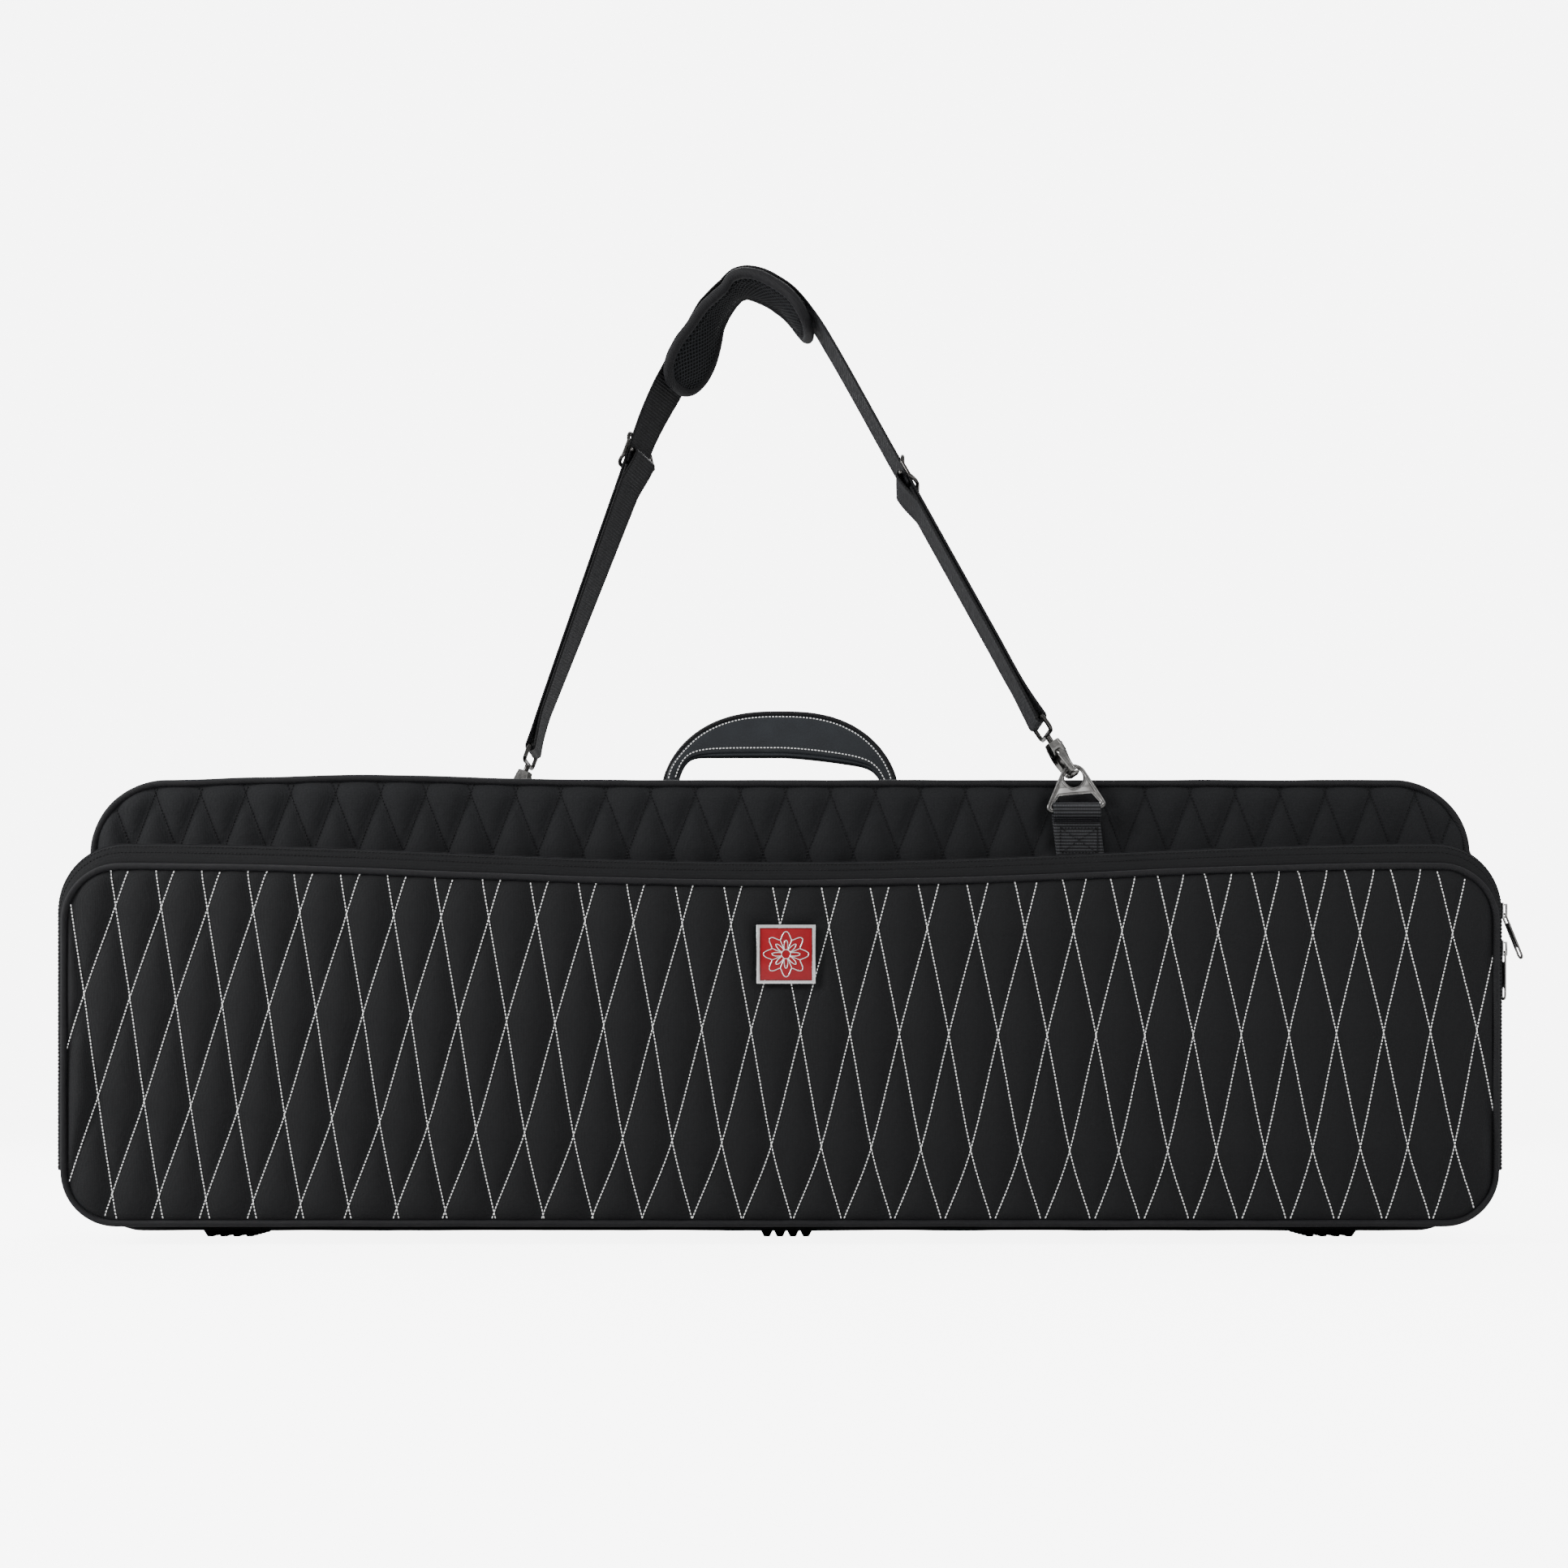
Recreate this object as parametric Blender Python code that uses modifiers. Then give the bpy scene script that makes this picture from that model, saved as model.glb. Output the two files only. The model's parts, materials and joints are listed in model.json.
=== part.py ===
"""Padded soft case for a compact zither: a shell that opens on a long zip, with a quilted front pocket on a
second zip, a grab handle, and a padded shoulder strap on two swivel hooks.
Metres, +Z up, front towards -Y."""

import math

import bmesh
import bpy
from mathutils import Matrix, Vector

# Shell: half width, lowest and highest point, and the depths of its front and back faces.
HALF_WIDTH = 0.545
SHELL_LOW = 0.0065
SHELL_TOP = 0.363
SHELL_FRONT = -0.0605
SHELL_BACK = 0.0605
SHELL_RADIUS_TOP = 0.060
SHELL_RADIUS_LOW = 0.042
SHELL_ZIP_Y = -0.042

# Pocket: its front rim, and the larger ring that its zip runs round.
POCKET_LOW = 0.0137
POCKET_TOP = 0.290
POCKET_SAG = 0.013
POCKET_FRONT = -0.115
RING_OUTSET = 0.007
RING_LIFT = 0.017
POCKET_ZIP_Y = -0.096

# Cloth, walls and gaps.
GAP = 0.0004
WALL = 0.005
PANEL = 0.0049
LINING = 0.0018
PIPING = 0.002
EDGE_INSET = 0.001
WALL_MIDDLE = EDGE_INSET + WALL / 2
INSIDE = EDGE_INSET + WALL + GAP
PANEL_INSET = 2 * PIPING + 0.0006
FRONT_EDGE = SHELL_FRONT + PANEL + GAP

# Zip: a bead on a tape, and the channel left for it between two walls.
CHANNEL_HALF = 0.006
BEAD_RADIUS = 0.0011
BEAD_OFFSET = 0.0019
BEAD_INSET = 0.0016
TAPE_HALF = 0.0003
SLIDER_LENGTH = 0.012
SLIDER_HALF = 0.005
PLATE = 0.001
PLATE_OUT = 0.0011
PLATE_IN = 0.0033
POST_HALF = 0.0005
BAIL_RISE = 0.0045
PULLER_LENGTH = 0.037
PULLER_WIDTH = 0.0075
PULLER_THICK = 0.0013
MAIN_SLIDER_TURN = 12.5
MAIN_SLIDER_LOW = 0.289
POCKET_SLIDER_TURN = 0.0
POCKET_SLIDER_LOW = 0.226
PULLER_LEAN = 22.0
SLANT_ROOM = 0.0018
SLANT_WALL = 0.0018

# Feet.
FOOT_X = 0.442
FOOT_TEETH = (4, 5)
FOOT_PITCH = 0.0105
FOOT_BASE = 0.0012
TOOTH_TIP = 0.0022
FOOT_Y = -FOOT_PITCH

# Handle.
HANDLE_HALF = 0.0943
HANDLE_AXIS_Z = 0.369
HANDLE_FOOT_DROP = 0.0012
HANDLE_APEX = 0.430
HANDLE_UNDER = 0.3915
HANDLE_LEG = 0.0075
HANDLE_THICK = 0.004

# Webbing, rings and hooks.
WEB_WIDTH = 0.038
WEB_THICK = 0.0022
RING_X = 0.2319
RING_Y = 0.070
RING_CENTRE_Z = 0.3615
RING_MID_RADIUS = 0.0097
RING_THICK = 0.0024
RING_BAR_Z = 0.3385
LEG_LEAN = {-1: math.radians(-20), 1: math.radians(34)}
HOOK_THICK = 0.007
EYE_HALF = 0.0225
EYE_DEPTH = 0.0135
EYE_ROD = 0.0018
EYE_LOW = 0.0312
BAR_GAP = WEB_THICK / 2 + EYE_ROD + 0.0006
LAYER_PITCH = WEB_THICK + 0.0006
STRAP_TOP = 0.781
PAD_HALF = 0.0945
PAD_SHIFT = 0.0125
PAD_WIDTH = 0.058
PAD_THICK = 0.009
PAD_GAP = 0.0026
ADJUSTER_END = {-1: Vector((-0.112, 0.038, 0.676)), 1: Vector((0.093, -0.032, 0.622))}
ADJUSTER_SHARE = 0.92
TWIST = ((-0.150, 0), (-0.112, 38), (-0.02, 42), (0.03, 27), (0.07, 12), (0.095, 0))

CLOTH = (0.012, 0.012, 0.013, 1)
TRIM = (0.006, 0.006, 0.006, 1)
LEATHER = (0.016, 0.018, 0.022, 1)
STEEL = (0.35, 0.34, 0.33, 1)
RUBBER = (0.01, 0.01, 0.01, 1)


def material(name, colour, roughness, metallic):
    found = bpy.data.materials.get(name)
    if found:
        return found
    made = bpy.data.materials.new(name)
    made.use_nodes = True
    shader = made.node_tree.nodes["Principled BSDF"]
    shader.inputs["Base Color"].default_value = colour
    shader.inputs["Roughness"].default_value = roughness
    shader.inputs["Metallic"].default_value = metallic
    return made


def cloth():
    return material("padded_cloth", CLOTH, 0.9, 0.0)


def lining_cloth():
    return material("lining_cloth", (0.02, 0.02, 0.022, 1), 0.8, 0.0)


def trim():
    return material("bound_edge", TRIM, 0.8, 0.0)


def webbing():
    return material("webbing", (0.014, 0.014, 0.016, 1), 0.85, 0.0)


def metal():
    return material("gunmetal", STEEL, 0.3, 1.0)


def silver():
    return material("silver", (0.7, 0.7, 0.7, 1), 0.25, 1.0)


def clear_scene():
    for obj in list(bpy.data.objects):
        bpy.data.objects.remove(obj)


def collection(name, hidden=False):
    made = bpy.data.collections.new(name)
    made.hide_render = hidden
    bpy.context.scene.collection.children.link(made)
    return made


def add(obj, skin=None, hidden=False):
    target = guides if hidden else parts
    target.objects.link(obj)
    if hidden:
        obj.hide_render = True
        obj.display_type = "WIRE"
    if skin:
        obj.data.materials.clear()
        obj.data.materials.append(skin)
    return obj


def group(name, place):
    """An empty on a joint's axis, which a moving piece hangs from."""
    empty = bpy.data.objects.new(name, None)
    empty.location = place
    empty.empty_display_size = 0.01
    parts.objects.link(empty)
    bpy.context.view_layer.update()
    return empty


def hang(empty, *objs):
    for obj in objs:
        obj.parent = empty
        obj.matrix_parent_inverse = empty.matrix_world.inverted()


def arc(centre, radius, start, end, steps):
    """Points on an arc in the x-z plane, angles in degrees."""
    points = []
    for i in range(steps + 1):
        turn = math.radians(start + (end - start) * i / steps)
        points.append((centre[0] + radius * math.cos(turn), centre[1] + radius * math.sin(turn)))
    return points


class Rim:
    """A rounded rectangle in the x-z plane, in eight sections, anticlockwise from its bottom line."""

    def __init__(self, half, low, top, radius_low, radius_top, sag=0.0):
        self.half = half
        self.low = low
        self.top = top
        self.radius_low = radius_low
        self.radius_top = radius_top
        self.sag = sag

    def top_line(self, inset):
        reach = self.half - self.radius_top
        steps = 8 if self.sag else 1
        points = []
        for i in range(steps + 1):
            x = reach - 2 * reach * i / steps
            drop = self.sag * math.cos(0.5 * math.pi * x / reach) ** 2
            points.append((x, self.top - inset - drop))
        return points

    def section(self, number, inset, steps):
        right = self.half - self.radius_low
        upper = self.half - self.radius_top
        low_z = self.low + self.radius_low
        top_z = self.top - self.radius_top
        low_r = self.radius_low - inset
        top_r = self.radius_top - inset
        side = self.half - inset
        if number == 0:
            return [(-right, self.low + inset), (right, self.low + inset)]
        if number == 1:
            return arc((right, low_z), low_r, -90, 0, steps)
        if number == 2:
            return [(side, low_z), (side, top_z)]
        if number == 3:
            return arc((upper, top_z), top_r, 0, 90, steps)
        if number == 4:
            return self.top_line(inset)
        if number == 5:
            return arc((-upper, top_z), top_r, 90, 180, steps)
        if number == 6:
            return [(-side, top_z), (-side, low_z)]
        return arc((-right, low_z), low_r, 180, 270, steps)

    def points(self, inset, sections=range(8), steps=6):
        path = []
        for number in sections:
            for point in self.section(number, inset, steps):
                if not path or math.dist(point, path[-1]) > 1e-6:
                    path.append(point)
        if math.dist(path[0], path[-1]) < 1e-6:
            path.pop()
        return path


SHELL = Rim(HALF_WIDTH, SHELL_LOW, SHELL_TOP, SHELL_RADIUS_LOW, SHELL_RADIUS_TOP)
POCKET = Rim(HALF_WIDTH, POCKET_LOW, POCKET_TOP, 0.042, 0.045, POCKET_SAG)
RING = Rim(
    HALF_WIDTH + RING_OUTSET, POCKET_LOW - 0.003, POCKET_TOP + RING_LIFT, 0.046, 0.052, POCKET_SAG + 0.001)
UPPER = (2, 3, 4, 5, 6)
LOWER = (7, 0, 1)


def flat_curve(name, loops, depth, y_middle, skin=None):
    """A filled outline in the x-z plane, extruded along y to a total of depth."""
    data = bpy.data.curves.new(name, "CURVE")
    data.dimensions = "2D"
    data.fill_mode = "BOTH"
    data.extrude = depth / 2
    for loop in loops:
        spline = data.splines.new("POLY")
        spline.points.add(len(loop) - 1)
        spline.use_cyclic_u = True
        for point, place in zip(spline.points, loop):
            point.co = (place[0], place[1], 0, 1)
    obj = add(bpy.data.objects.new(name, data), skin)
    obj.rotation_euler = (math.radians(90), 0, 0)
    obj.location = (0, y_middle, 0)
    return obj


def rod_curve(name, points, radius, cyclic, skin, resolution=1):
    """A round rod along points in space."""
    data = bpy.data.curves.new(name, "CURVE")
    data.dimensions = "3D"
    data.bevel_depth = radius
    data.bevel_resolution = resolution
    data.use_fill_caps = not cyclic
    spline = data.splines.new("POLY")
    spline.points.add(len(points) - 1)
    spline.use_cyclic_u = cyclic
    for point, place in zip(spline.points, points):
        point.co = (*place, 1)
    return add(bpy.data.objects.new(name, data), skin)


def mesh_of(obj):
    """The curve made a welded mesh, ready for a Boolean."""
    bpy.context.view_layer.update()
    graph = bpy.context.evaluated_depsgraph_get()
    data = bpy.data.meshes.new_from_object(obj.evaluated_get(graph))
    bm = bmesh.new()
    bm.from_mesh(data)
    bmesh.ops.remove_doubles(bm, verts=bm.verts, dist=1e-6)
    bmesh.ops.recalc_face_normals(bm, faces=bm.faces)
    bm.to_mesh(data)
    bm.free()
    name = obj.name
    world = obj.matrix_world.copy()
    skin = obj.data.materials[0] if obj.data.materials else None
    bpy.data.objects.remove(obj)
    made = add(bpy.data.objects.new(name, data), skin)
    made.matrix_world = world
    return made


def mesh_object(name, bm, skin=None, hidden=False):
    data = bpy.data.meshes.new(name)
    bmesh.ops.recalc_face_normals(bm, faces=bm.faces)
    bm.to_mesh(data)
    bm.free()
    return add(bpy.data.objects.new(name, data), skin, hidden)


def box(name, size, place, skin=None, turn=None, hidden=False):
    bm = bmesh.new()
    bmesh.ops.create_cube(bm, size=1.0, matrix=Matrix.Diagonal((*size, 1)))
    obj = mesh_object(name, bm, skin, hidden)
    obj.matrix_world = Matrix.Translation(place) @ (turn or Matrix.Identity(4))
    return obj


def cylinder(name, radius, length, place, turn, skin=None, sides=16, hidden=False):
    bm = bmesh.new()
    bmesh.ops.create_cone(bm, cap_ends=True, segments=sides, radius1=radius, radius2=radius, depth=length)
    obj = mesh_object(name, bm, skin, hidden)
    obj.matrix_world = Matrix.Translation(place) @ turn
    return obj


def boolean(obj, other, operation):
    other.hide_render = True
    other.display_type = "WIRE"
    change = obj.modifiers.new(operation.lower(), "BOOLEAN")
    change.operation = operation
    change.object = other


def sheet_from(name, rows, thickness, skin, cyclic=False):
    """A grid mapped onto rows of points, thickened evenly to both sides."""
    long = len(rows)
    wide = len(rows[0])
    bm = bmesh.new()
    bmesh.ops.create_grid(bm, x_segments=long - 1, y_segments=wide - 1, size=0.5)
    for vert in bm.verts:
        i = round((vert.co.x + 0.5) * (long - 1))
        j = round((vert.co.y + 0.5) * (wide - 1))
        vert.co = rows[i][j]
    obj = mesh_object(name, bm, skin)
    thick = obj.modifiers.new("thickness", "SOLIDIFY")
    thick.thickness = thickness
    thick.offset = 0
    thick.use_even_offset = True
    return obj


def band(name, rim_a, inset_a, y_a, rim_b, inset_b, y_b, sections, skin, thickness=WALL, steps=6):
    """A wall that runs along sections of a rim, from one depth to another. The insets are of its middle."""
    first = rim_a.points(inset_a, sections, steps)
    second = rim_b.points(inset_b, sections, steps)
    rows = [[Vector((a[0], y_a, a[1])), Vector((b[0], y_b, b[1]))] for a, b in zip(first, second)]
    return sheet_from(name, rows, thickness, skin)


def panel(name, rim, inset, y_low, y_high, skin):
    return flat_curve(name, [rim.points(inset)], y_high - y_low, (y_low + y_high) / 2, skin)


def piping(name, rim, y, radius=PIPING):
    points = [(x, y, z) for x, z in rim.points(radius)]
    return rod_curve(name, points, radius, True, trim())


def zip_side(name, rim, zip_y, side):
    """One tape with its bead. side is -1 for the front half and 1 for the back half."""
    guide = bpy.data.curves.new(name + "_profile", "CURVE")
    guide.dimensions = "2D"
    guide.fill_mode = "NONE"
    bead = arc((0, 0), BEAD_RADIUS, 20, 340, 6)
    edge = CHANNEL_HALF - GAP - BEAD_OFFSET
    corners = bead + [(edge, -TAPE_HALF), (edge, TAPE_HALF)]
    spline = guide.splines.new("POLY")
    spline.points.add(len(corners) - 1)
    spline.use_cyclic_u = True
    for point, place in zip(spline.points, corners):
        # Across the tape is the sweep's second direction, and points away from the other half.
        point.co = (place[1], -side * place[0], 0, 1)
    profile = add(bpy.data.objects.new(name + "_profile", guide), None, True)
    path = rim.points(BEAD_INSET, UPPER, 12)
    data = bpy.data.curves.new(name, "CURVE")
    data.dimensions = "2D"
    data.fill_mode = "NONE"
    data.bevel_mode = "OBJECT"
    data.bevel_object = profile
    data.use_fill_caps = True
    spline = data.splines.new("POLY")
    spline.points.add(len(path) - 1)
    for point, place in zip(spline.points, path):
        point.co = (place[0], place[1], 0, 1)
    obj = add(bpy.data.objects.new(name, data), trim())
    obj.rotation_euler = (math.radians(90), 0, 0)
    obj.location = (0, zip_y + side * BEAD_OFFSET, 0)
    return mesh_of(obj)


def shell():
    back_edge = SHELL_BACK - PANEL - GAP
    rear_start = SHELL_ZIP_Y + CHANNEL_HALF
    panel("back_panel", SHELL, PANEL_INSET, SHELL_BACK - PANEL, SHELL_BACK, cloth())
    panel("case_lining", SHELL, INSIDE, back_edge - LINING, back_edge, lining_cloth())
    piping("back_piping", SHELL, SHELL_BACK - PIPING - 0.001)
    wall("gusset_top", rear_start, back_edge, (3, 4, 5))
    for name, section in (("gusset_right", 2), ("gusset_left", 6)):
        shrink_along_z(wall(name, rear_start, back_edge, (section,)))
    wall("gusset_bottom", FRONT_EDGE, back_edge, LOWER)
    board_z = SHELL_LOW + INSIDE + 0.0015
    box("base_board", (0.98, 0.076, 0.003), (0, 0.009, board_z), trim())
    zip_side("case_zip", SHELL, SHELL_ZIP_Y, 1)


def wall(name, y_start, y_end, sections):
    return band(name, SHELL, WALL_MIDDLE, y_start, SHELL, WALL_MIDDLE, y_end, sections, cloth(), steps=12)


def shrink_along_z(obj):
    """Leaves a gap where this wall's ends meet its neighbours."""
    heights = [v.co.z for v in obj.data.vertices]
    low = min(heights)
    high = max(heights)
    for v in obj.data.vertices:
        v.co.z += GAP if v.co.z < (low + high) / 2 else -GAP


def lid():
    panel("front_panel", SHELL, PANEL_INSET, SHELL_FRONT, SHELL_FRONT + PANEL, cloth())
    panel("lid_lining", SHELL, INSIDE, FRONT_EDGE, FRONT_EDGE + LINING, lining_cloth())
    piping("front_piping", SHELL, SHELL_FRONT + PIPING + 0.001)
    trim_ends(wall("lid_gusset", FRONT_EDGE, SHELL_ZIP_Y - CHANNEL_HALF, UPPER))
    zip_side("lid_zip", SHELL, SHELL_ZIP_Y, -1)


def trim_ends(obj):
    """Lifts a band's two lowest edges clear of the wall they would meet."""
    low = min(v.co.z for v in obj.data.vertices)
    for v in obj.data.vertices:
        if v.co.z < low + 1e-5:
            v.co.z += GAP


def pocket():
    wall = 0.003
    middle = EDGE_INSET + wall / 2
    back = SHELL_FRONT - 0.0008
    rear_start = POCKET_ZIP_Y + CHANNEL_HALF
    front_end = POCKET_ZIP_Y - CHANNEL_HALF - SLANT_ROOM
    front_start = POCKET_FRONT + PANEL + GAP
    cloths = (
        band("pocket_rear_gusset", RING, middle, back, RING, middle, rear_start, UPPER, cloth(), wall, 12),
        band("pocket_front_gusset", POCKET, middle, front_start + SLANT_ROOM, RING, middle, front_end, UPPER,
             cloth(), SLANT_WALL, 12),
    )
    for strip in cloths:
        trim_ends(strip)
    band("pocket_bottom", POCKET, middle, front_start, RING, middle, back, LOWER, cloth(), wall)
    zip_side("pocket_rear_zip", RING, POCKET_ZIP_Y, 1)
    zip_side("pocket_front_zip", RING, POCKET_ZIP_Y, -1)
    panel("pocket_panel", POCKET, 0.0052, POCKET_FRONT, POCKET_FRONT + PANEL, cloth())
    panel("pocket_lining", POCKET, 0.0080, front_start, front_start + 0.0015, lining_cloth())
    piping("pocket_piping", POCKET, POCKET_FRONT + 0.0026, 0.0023)


def badge():
    half = 0.0223
    centre = (0.0046, 0.220)
    red = material("enamel", (0.5, 0.01, 0.02, 1), 0.2, 0.0)
    y = POCKET_FRONT - 0.0003

    def square(reach):
        x, z = centre
        low, high = z - reach, z + reach
        return [(x - reach, low), (x + reach, low), (x + reach, high), (x - reach, high)]

    flat_curve("badge_frame", [square(half), square(half - 0.0025)], 0.0022, y - 0.0011, silver())
    side = 2 * (half - 0.0025 - 0.0003)
    box("badge_inlay", (side, 0.0014, side), (centre[0], y - 0.0008, centre[1]), red)


def foot(name, x):
    """A rubber pad with rows of blunt teeth underneath."""
    long, wide = FOOT_TEETH
    height = SHELL_LOW + EDGE_INSET - 0.0003
    bm = bmesh.new()
    bmesh.ops.create_grid(bm, x_segments=long, y_segments=wide, size=0.5)
    bmesh.ops.scale(bm, vec=(long * FOOT_PITCH, wide * FOOT_PITCH, 1), verts=bm.verts)
    edges = [e for e in bm.edges if e.is_boundary]
    grown = bmesh.ops.extrude_edge_only(bm, edges=edges)
    lifted = [v for v in grown["geom"] if isinstance(v, bmesh.types.BMVert)]
    bmesh.ops.translate(bm, vec=(0, 0, FOOT_BASE), verts=lifted)
    bmesh.ops.holes_fill(bm, edges=[e for e in bm.edges if e.is_boundary])
    teeth = [f for f in bm.faces if abs(f.calc_center_median().z) < 1e-6]
    bmesh.ops.recalc_face_normals(bm, faces=bm.faces)
    inset = (FOOT_PITCH - TOOTH_TIP) / 2
    bmesh.ops.inset_individual(bm, faces=teeth, thickness=inset, depth=height - FOOT_BASE)
    rubber = material("rubber", RUBBER, 0.6, 0.0)
    obj = mesh_object(name, bm, rubber)
    obj.location = (x, FOOT_Y, height - FOOT_BASE)


def slider(name, rim, zip_y, turn, height=None):
    """A two-plate slider on the right of a zip: at an angle on the corner's arc, or at a height."""
    centre = Vector((rim.half - rim.radius_top, zip_y, rim.top - rim.radius_top))
    angle = math.radians(turn)
    reach = rim.radius_top
    place = centre + Vector((reach * math.cos(angle), 0, reach * math.sin(angle)))
    if height is not None:
        place.z = height
    lean = Matrix.Rotation(-angle, 4, "Y")
    frame = Matrix.Translation(place) @ lean
    outer_x = PLATE_OUT - PLATE / 2
    inner_x = -(PLATE_IN + PLATE / 2)
    body = box(name, (PLATE, 2 * SLIDER_HALF, SLIDER_LENGTH), (0, 0, 0), metal())
    body.matrix_world = frame @ Matrix.Translation((outer_x, 0, 0))
    pieces = (
        ((PLATE, 2 * SLIDER_HALF, SLIDER_LENGTH), (inner_x, 0, 0)),
        ((PLATE_IN + PLATE_OUT, 2 * POST_HALF, 0.004), ((PLATE_OUT - PLATE_IN) / 2 - 0.0002, 0, 0.003)),
        ((BAIL_RISE, 0.002, 0.0014), (PLATE_OUT + BAIL_RISE / 2 - 0.0002, 0, 0.0048)),
        ((BAIL_RISE, 0.002, 0.0014), (PLATE_OUT + BAIL_RISE / 2 - 0.0002, 0, -0.0048)),
        ((0.0013, 0.002, 0.011), (PLATE_OUT + BAIL_RISE - 0.0006, 0, 0)),
    )
    for i, (size, offset) in enumerate(pieces):
        extra = box(f"{name}_piece_{i}", size, (0, 0, 0), None, None, True)
        extra.matrix_world = frame @ Matrix.Translation(offset)
        boolean(body, extra, "UNION")
    pivot = frame @ Vector((PLATE_OUT + 0.0018, 0, -0.0026))
    return body, pivot


def puller(name, pivot, lean):
    """A flat tab with a window at its top, for the slider's bail, and an oval hole at its tip."""
    half = PULLER_WIDTH / 2
    top = 0.0008
    low = -PULLER_LENGTH + half
    outline = [(half, top), (-half, top)] + arc((0, low), half, 180, 360, 8)
    window_half = half - 0.0014
    high, foot = -0.0008, -0.0075
    window = [(window_half, high), (-window_half, high), (-window_half, foot), (window_half, foot)]
    hole = arc((0, low + 0.0045), 0.0021, 0, 180, 5) + arc((0, low), 0.0021, 180, 360, 5)
    obj = flat_curve(name, [outline, window, hole], PULLER_THICK, 0, metal())
    upright = Matrix.Rotation(math.radians(90), 4, "X")
    face_side = Matrix.Rotation(math.radians(90), 4, "Z")
    swing = Matrix.Rotation(-math.radians(lean), 4, "Y")
    obj.matrix_world = Matrix.Translation(pivot) @ swing @ face_side @ upright
    empty = group(name + "_axis", pivot)
    hang(empty, obj)
    return obj


def zip_pulls():
    shell_corner = Vector((HALF_WIDTH - SHELL_RADIUS_TOP, SHELL_ZIP_Y, SHELL_TOP - SHELL_RADIUS_TOP))
    ring_corner = Vector((RING.half - RING.radius_top, POCKET_ZIP_Y, RING.top - RING.radius_top))
    runs = (
        ("main_upper", SHELL, SHELL_ZIP_Y, MAIN_SLIDER_TURN, None, PULLER_LEAN, shell_corner),
        ("main_lower", SHELL, SHELL_ZIP_Y, 0.0, MAIN_SLIDER_LOW, 0.0, None),
        ("pocket_upper", RING, POCKET_ZIP_Y, POCKET_SLIDER_TURN, None, PULLER_LEAN, ring_corner),
        ("pocket_lower", RING, POCKET_ZIP_Y, 0.0, POCKET_SLIDER_LOW, 0.0, None),
    )
    for name, rim, zip_y, turn, height, lean, corner in runs:
        body, pivot = slider(name + "_slider", rim, zip_y, turn, height)
        puller(name + "_puller", pivot, lean)
        if corner:
            empty = group(name + "_slider_axis", corner)
            world = body.matrix_world.copy()
            hang(empty, body)
            body.matrix_world = world


def handle():
    """A crescent of padded hide on two narrow legs, folding about a line just above the shell."""
    foot_z = HANDLE_AXIS_Z - HANDLE_FOOT_DROP
    leg = HANDLE_LEG
    outer = []
    inner = []
    steps = 20
    rise = HANDLE_APEX - foot_z
    under = HANDLE_UNDER - foot_z
    for i in range(steps + 1):
        t = math.sin(math.pi * (i / steps - 0.5))
        outer.append((HANDLE_HALF * t, foot_z + rise * (1 - abs(t) ** 2.6) ** 0.62))
        reach = HANDLE_HALF - 2 * leg
        inner.append((reach * t, foot_z + under * (1 - abs(t) ** 9) ** 0.5))
    outline = outer + inner[::-1]
    grip = flat_curve("handle_grip", [outline], 2 * HANDLE_THICK, 0, material("hide", LEATHER, 0.45, 0.0))
    empty = group("handle_axis", (0, 0, HANDLE_AXIS_Z))
    hang(empty, grip)
    top = SHELL_TOP - EDGE_INSET + 0.0003
    for name, side in (("handle_anchor_left", -1), ("handle_anchor_right", 1)):
        x = side * (HANDLE_HALF - leg)
        box(name, (2 * leg, 0.034, 0.0024), (x, 0, top + 0.0012), webbing())


def ring_outline(side):
    """The plate's outline, with its round hole and its slot, about x = side * RING_X."""
    x = side * RING_X
    outer_radius = RING_MID_RADIUS + 0.0012
    low = RING_BAR_Z - 0.0015
    outline = arc((x, RING_CENTRE_Z), outer_radius, 155, 25, 12)
    outline += arc((x + 0.0195, low + 0.0035), 0.0035, 30, -90, 5)
    outline += arc((x - 0.0195, low + 0.0035), 0.0035, 270, 150, 5)
    hole = arc((x, RING_CENTRE_Z), RING_MID_RADIUS - 0.0012, 0, 345, 23)
    slot_low = RING_BAR_Z + 0.0015
    slot_high = slot_low + 0.0068
    wide, narrow = 0.0196, 0.0180
    slot = [(x - wide, slot_low), (x + wide, slot_low), (x + narrow, slot_high), (x - narrow, slot_high)]
    return [outline, hole, slot]


def ring_and_tab(name, side):
    """side is 1 for the ring on the front, at the right, and -1 for the one on the back, at the left."""
    y = -side * RING_Y
    ring = flat_curve(name + "_ring", ring_outline(side), RING_THICK, y, metal())
    empty = group(name + "_ring_axis", (side * RING_X, y, RING_BAR_Z))
    hang(empty, ring)
    wall = abs(SHELL_FRONT) + 0.0003 + WEB_THICK / 2
    clear = math.hypot(RING_THICK / 2, 0.0015) + 0.0005 + WEB_THICK / 2
    outer = wall + WEB_THICK + 0.0006
    low = POCKET_TOP + RING_LIFT + 0.001 if side > 0 else 0.297
    path = [(wall, low), (wall, 0.3310)]
    path += [(RING_Y + clear * math.sin(a), RING_BAR_Z - clear * math.cos(a)) for a in loop_turns()]
    path += [(RING_Y + 0.0030, RING_BAR_Z - 0.0035), (RING_Y, RING_BAR_Z - 0.0075)]
    path += [(outer, RING_BAR_Z - 0.0125), (outer, low)]
    x = side * RING_X
    half = WEB_WIDTH / 2 - 0.0004
    rows = [[Vector((x + edge, -side * y_out, z)) for edge in (-half, half)] for y_out, z in path]
    sheet_from(name + "_ring_tab", rows, WEB_THICK, webbing())


def loop_turns():
    return [math.radians(-90 - 180 * i / 8) for i in range(9)]


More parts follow.
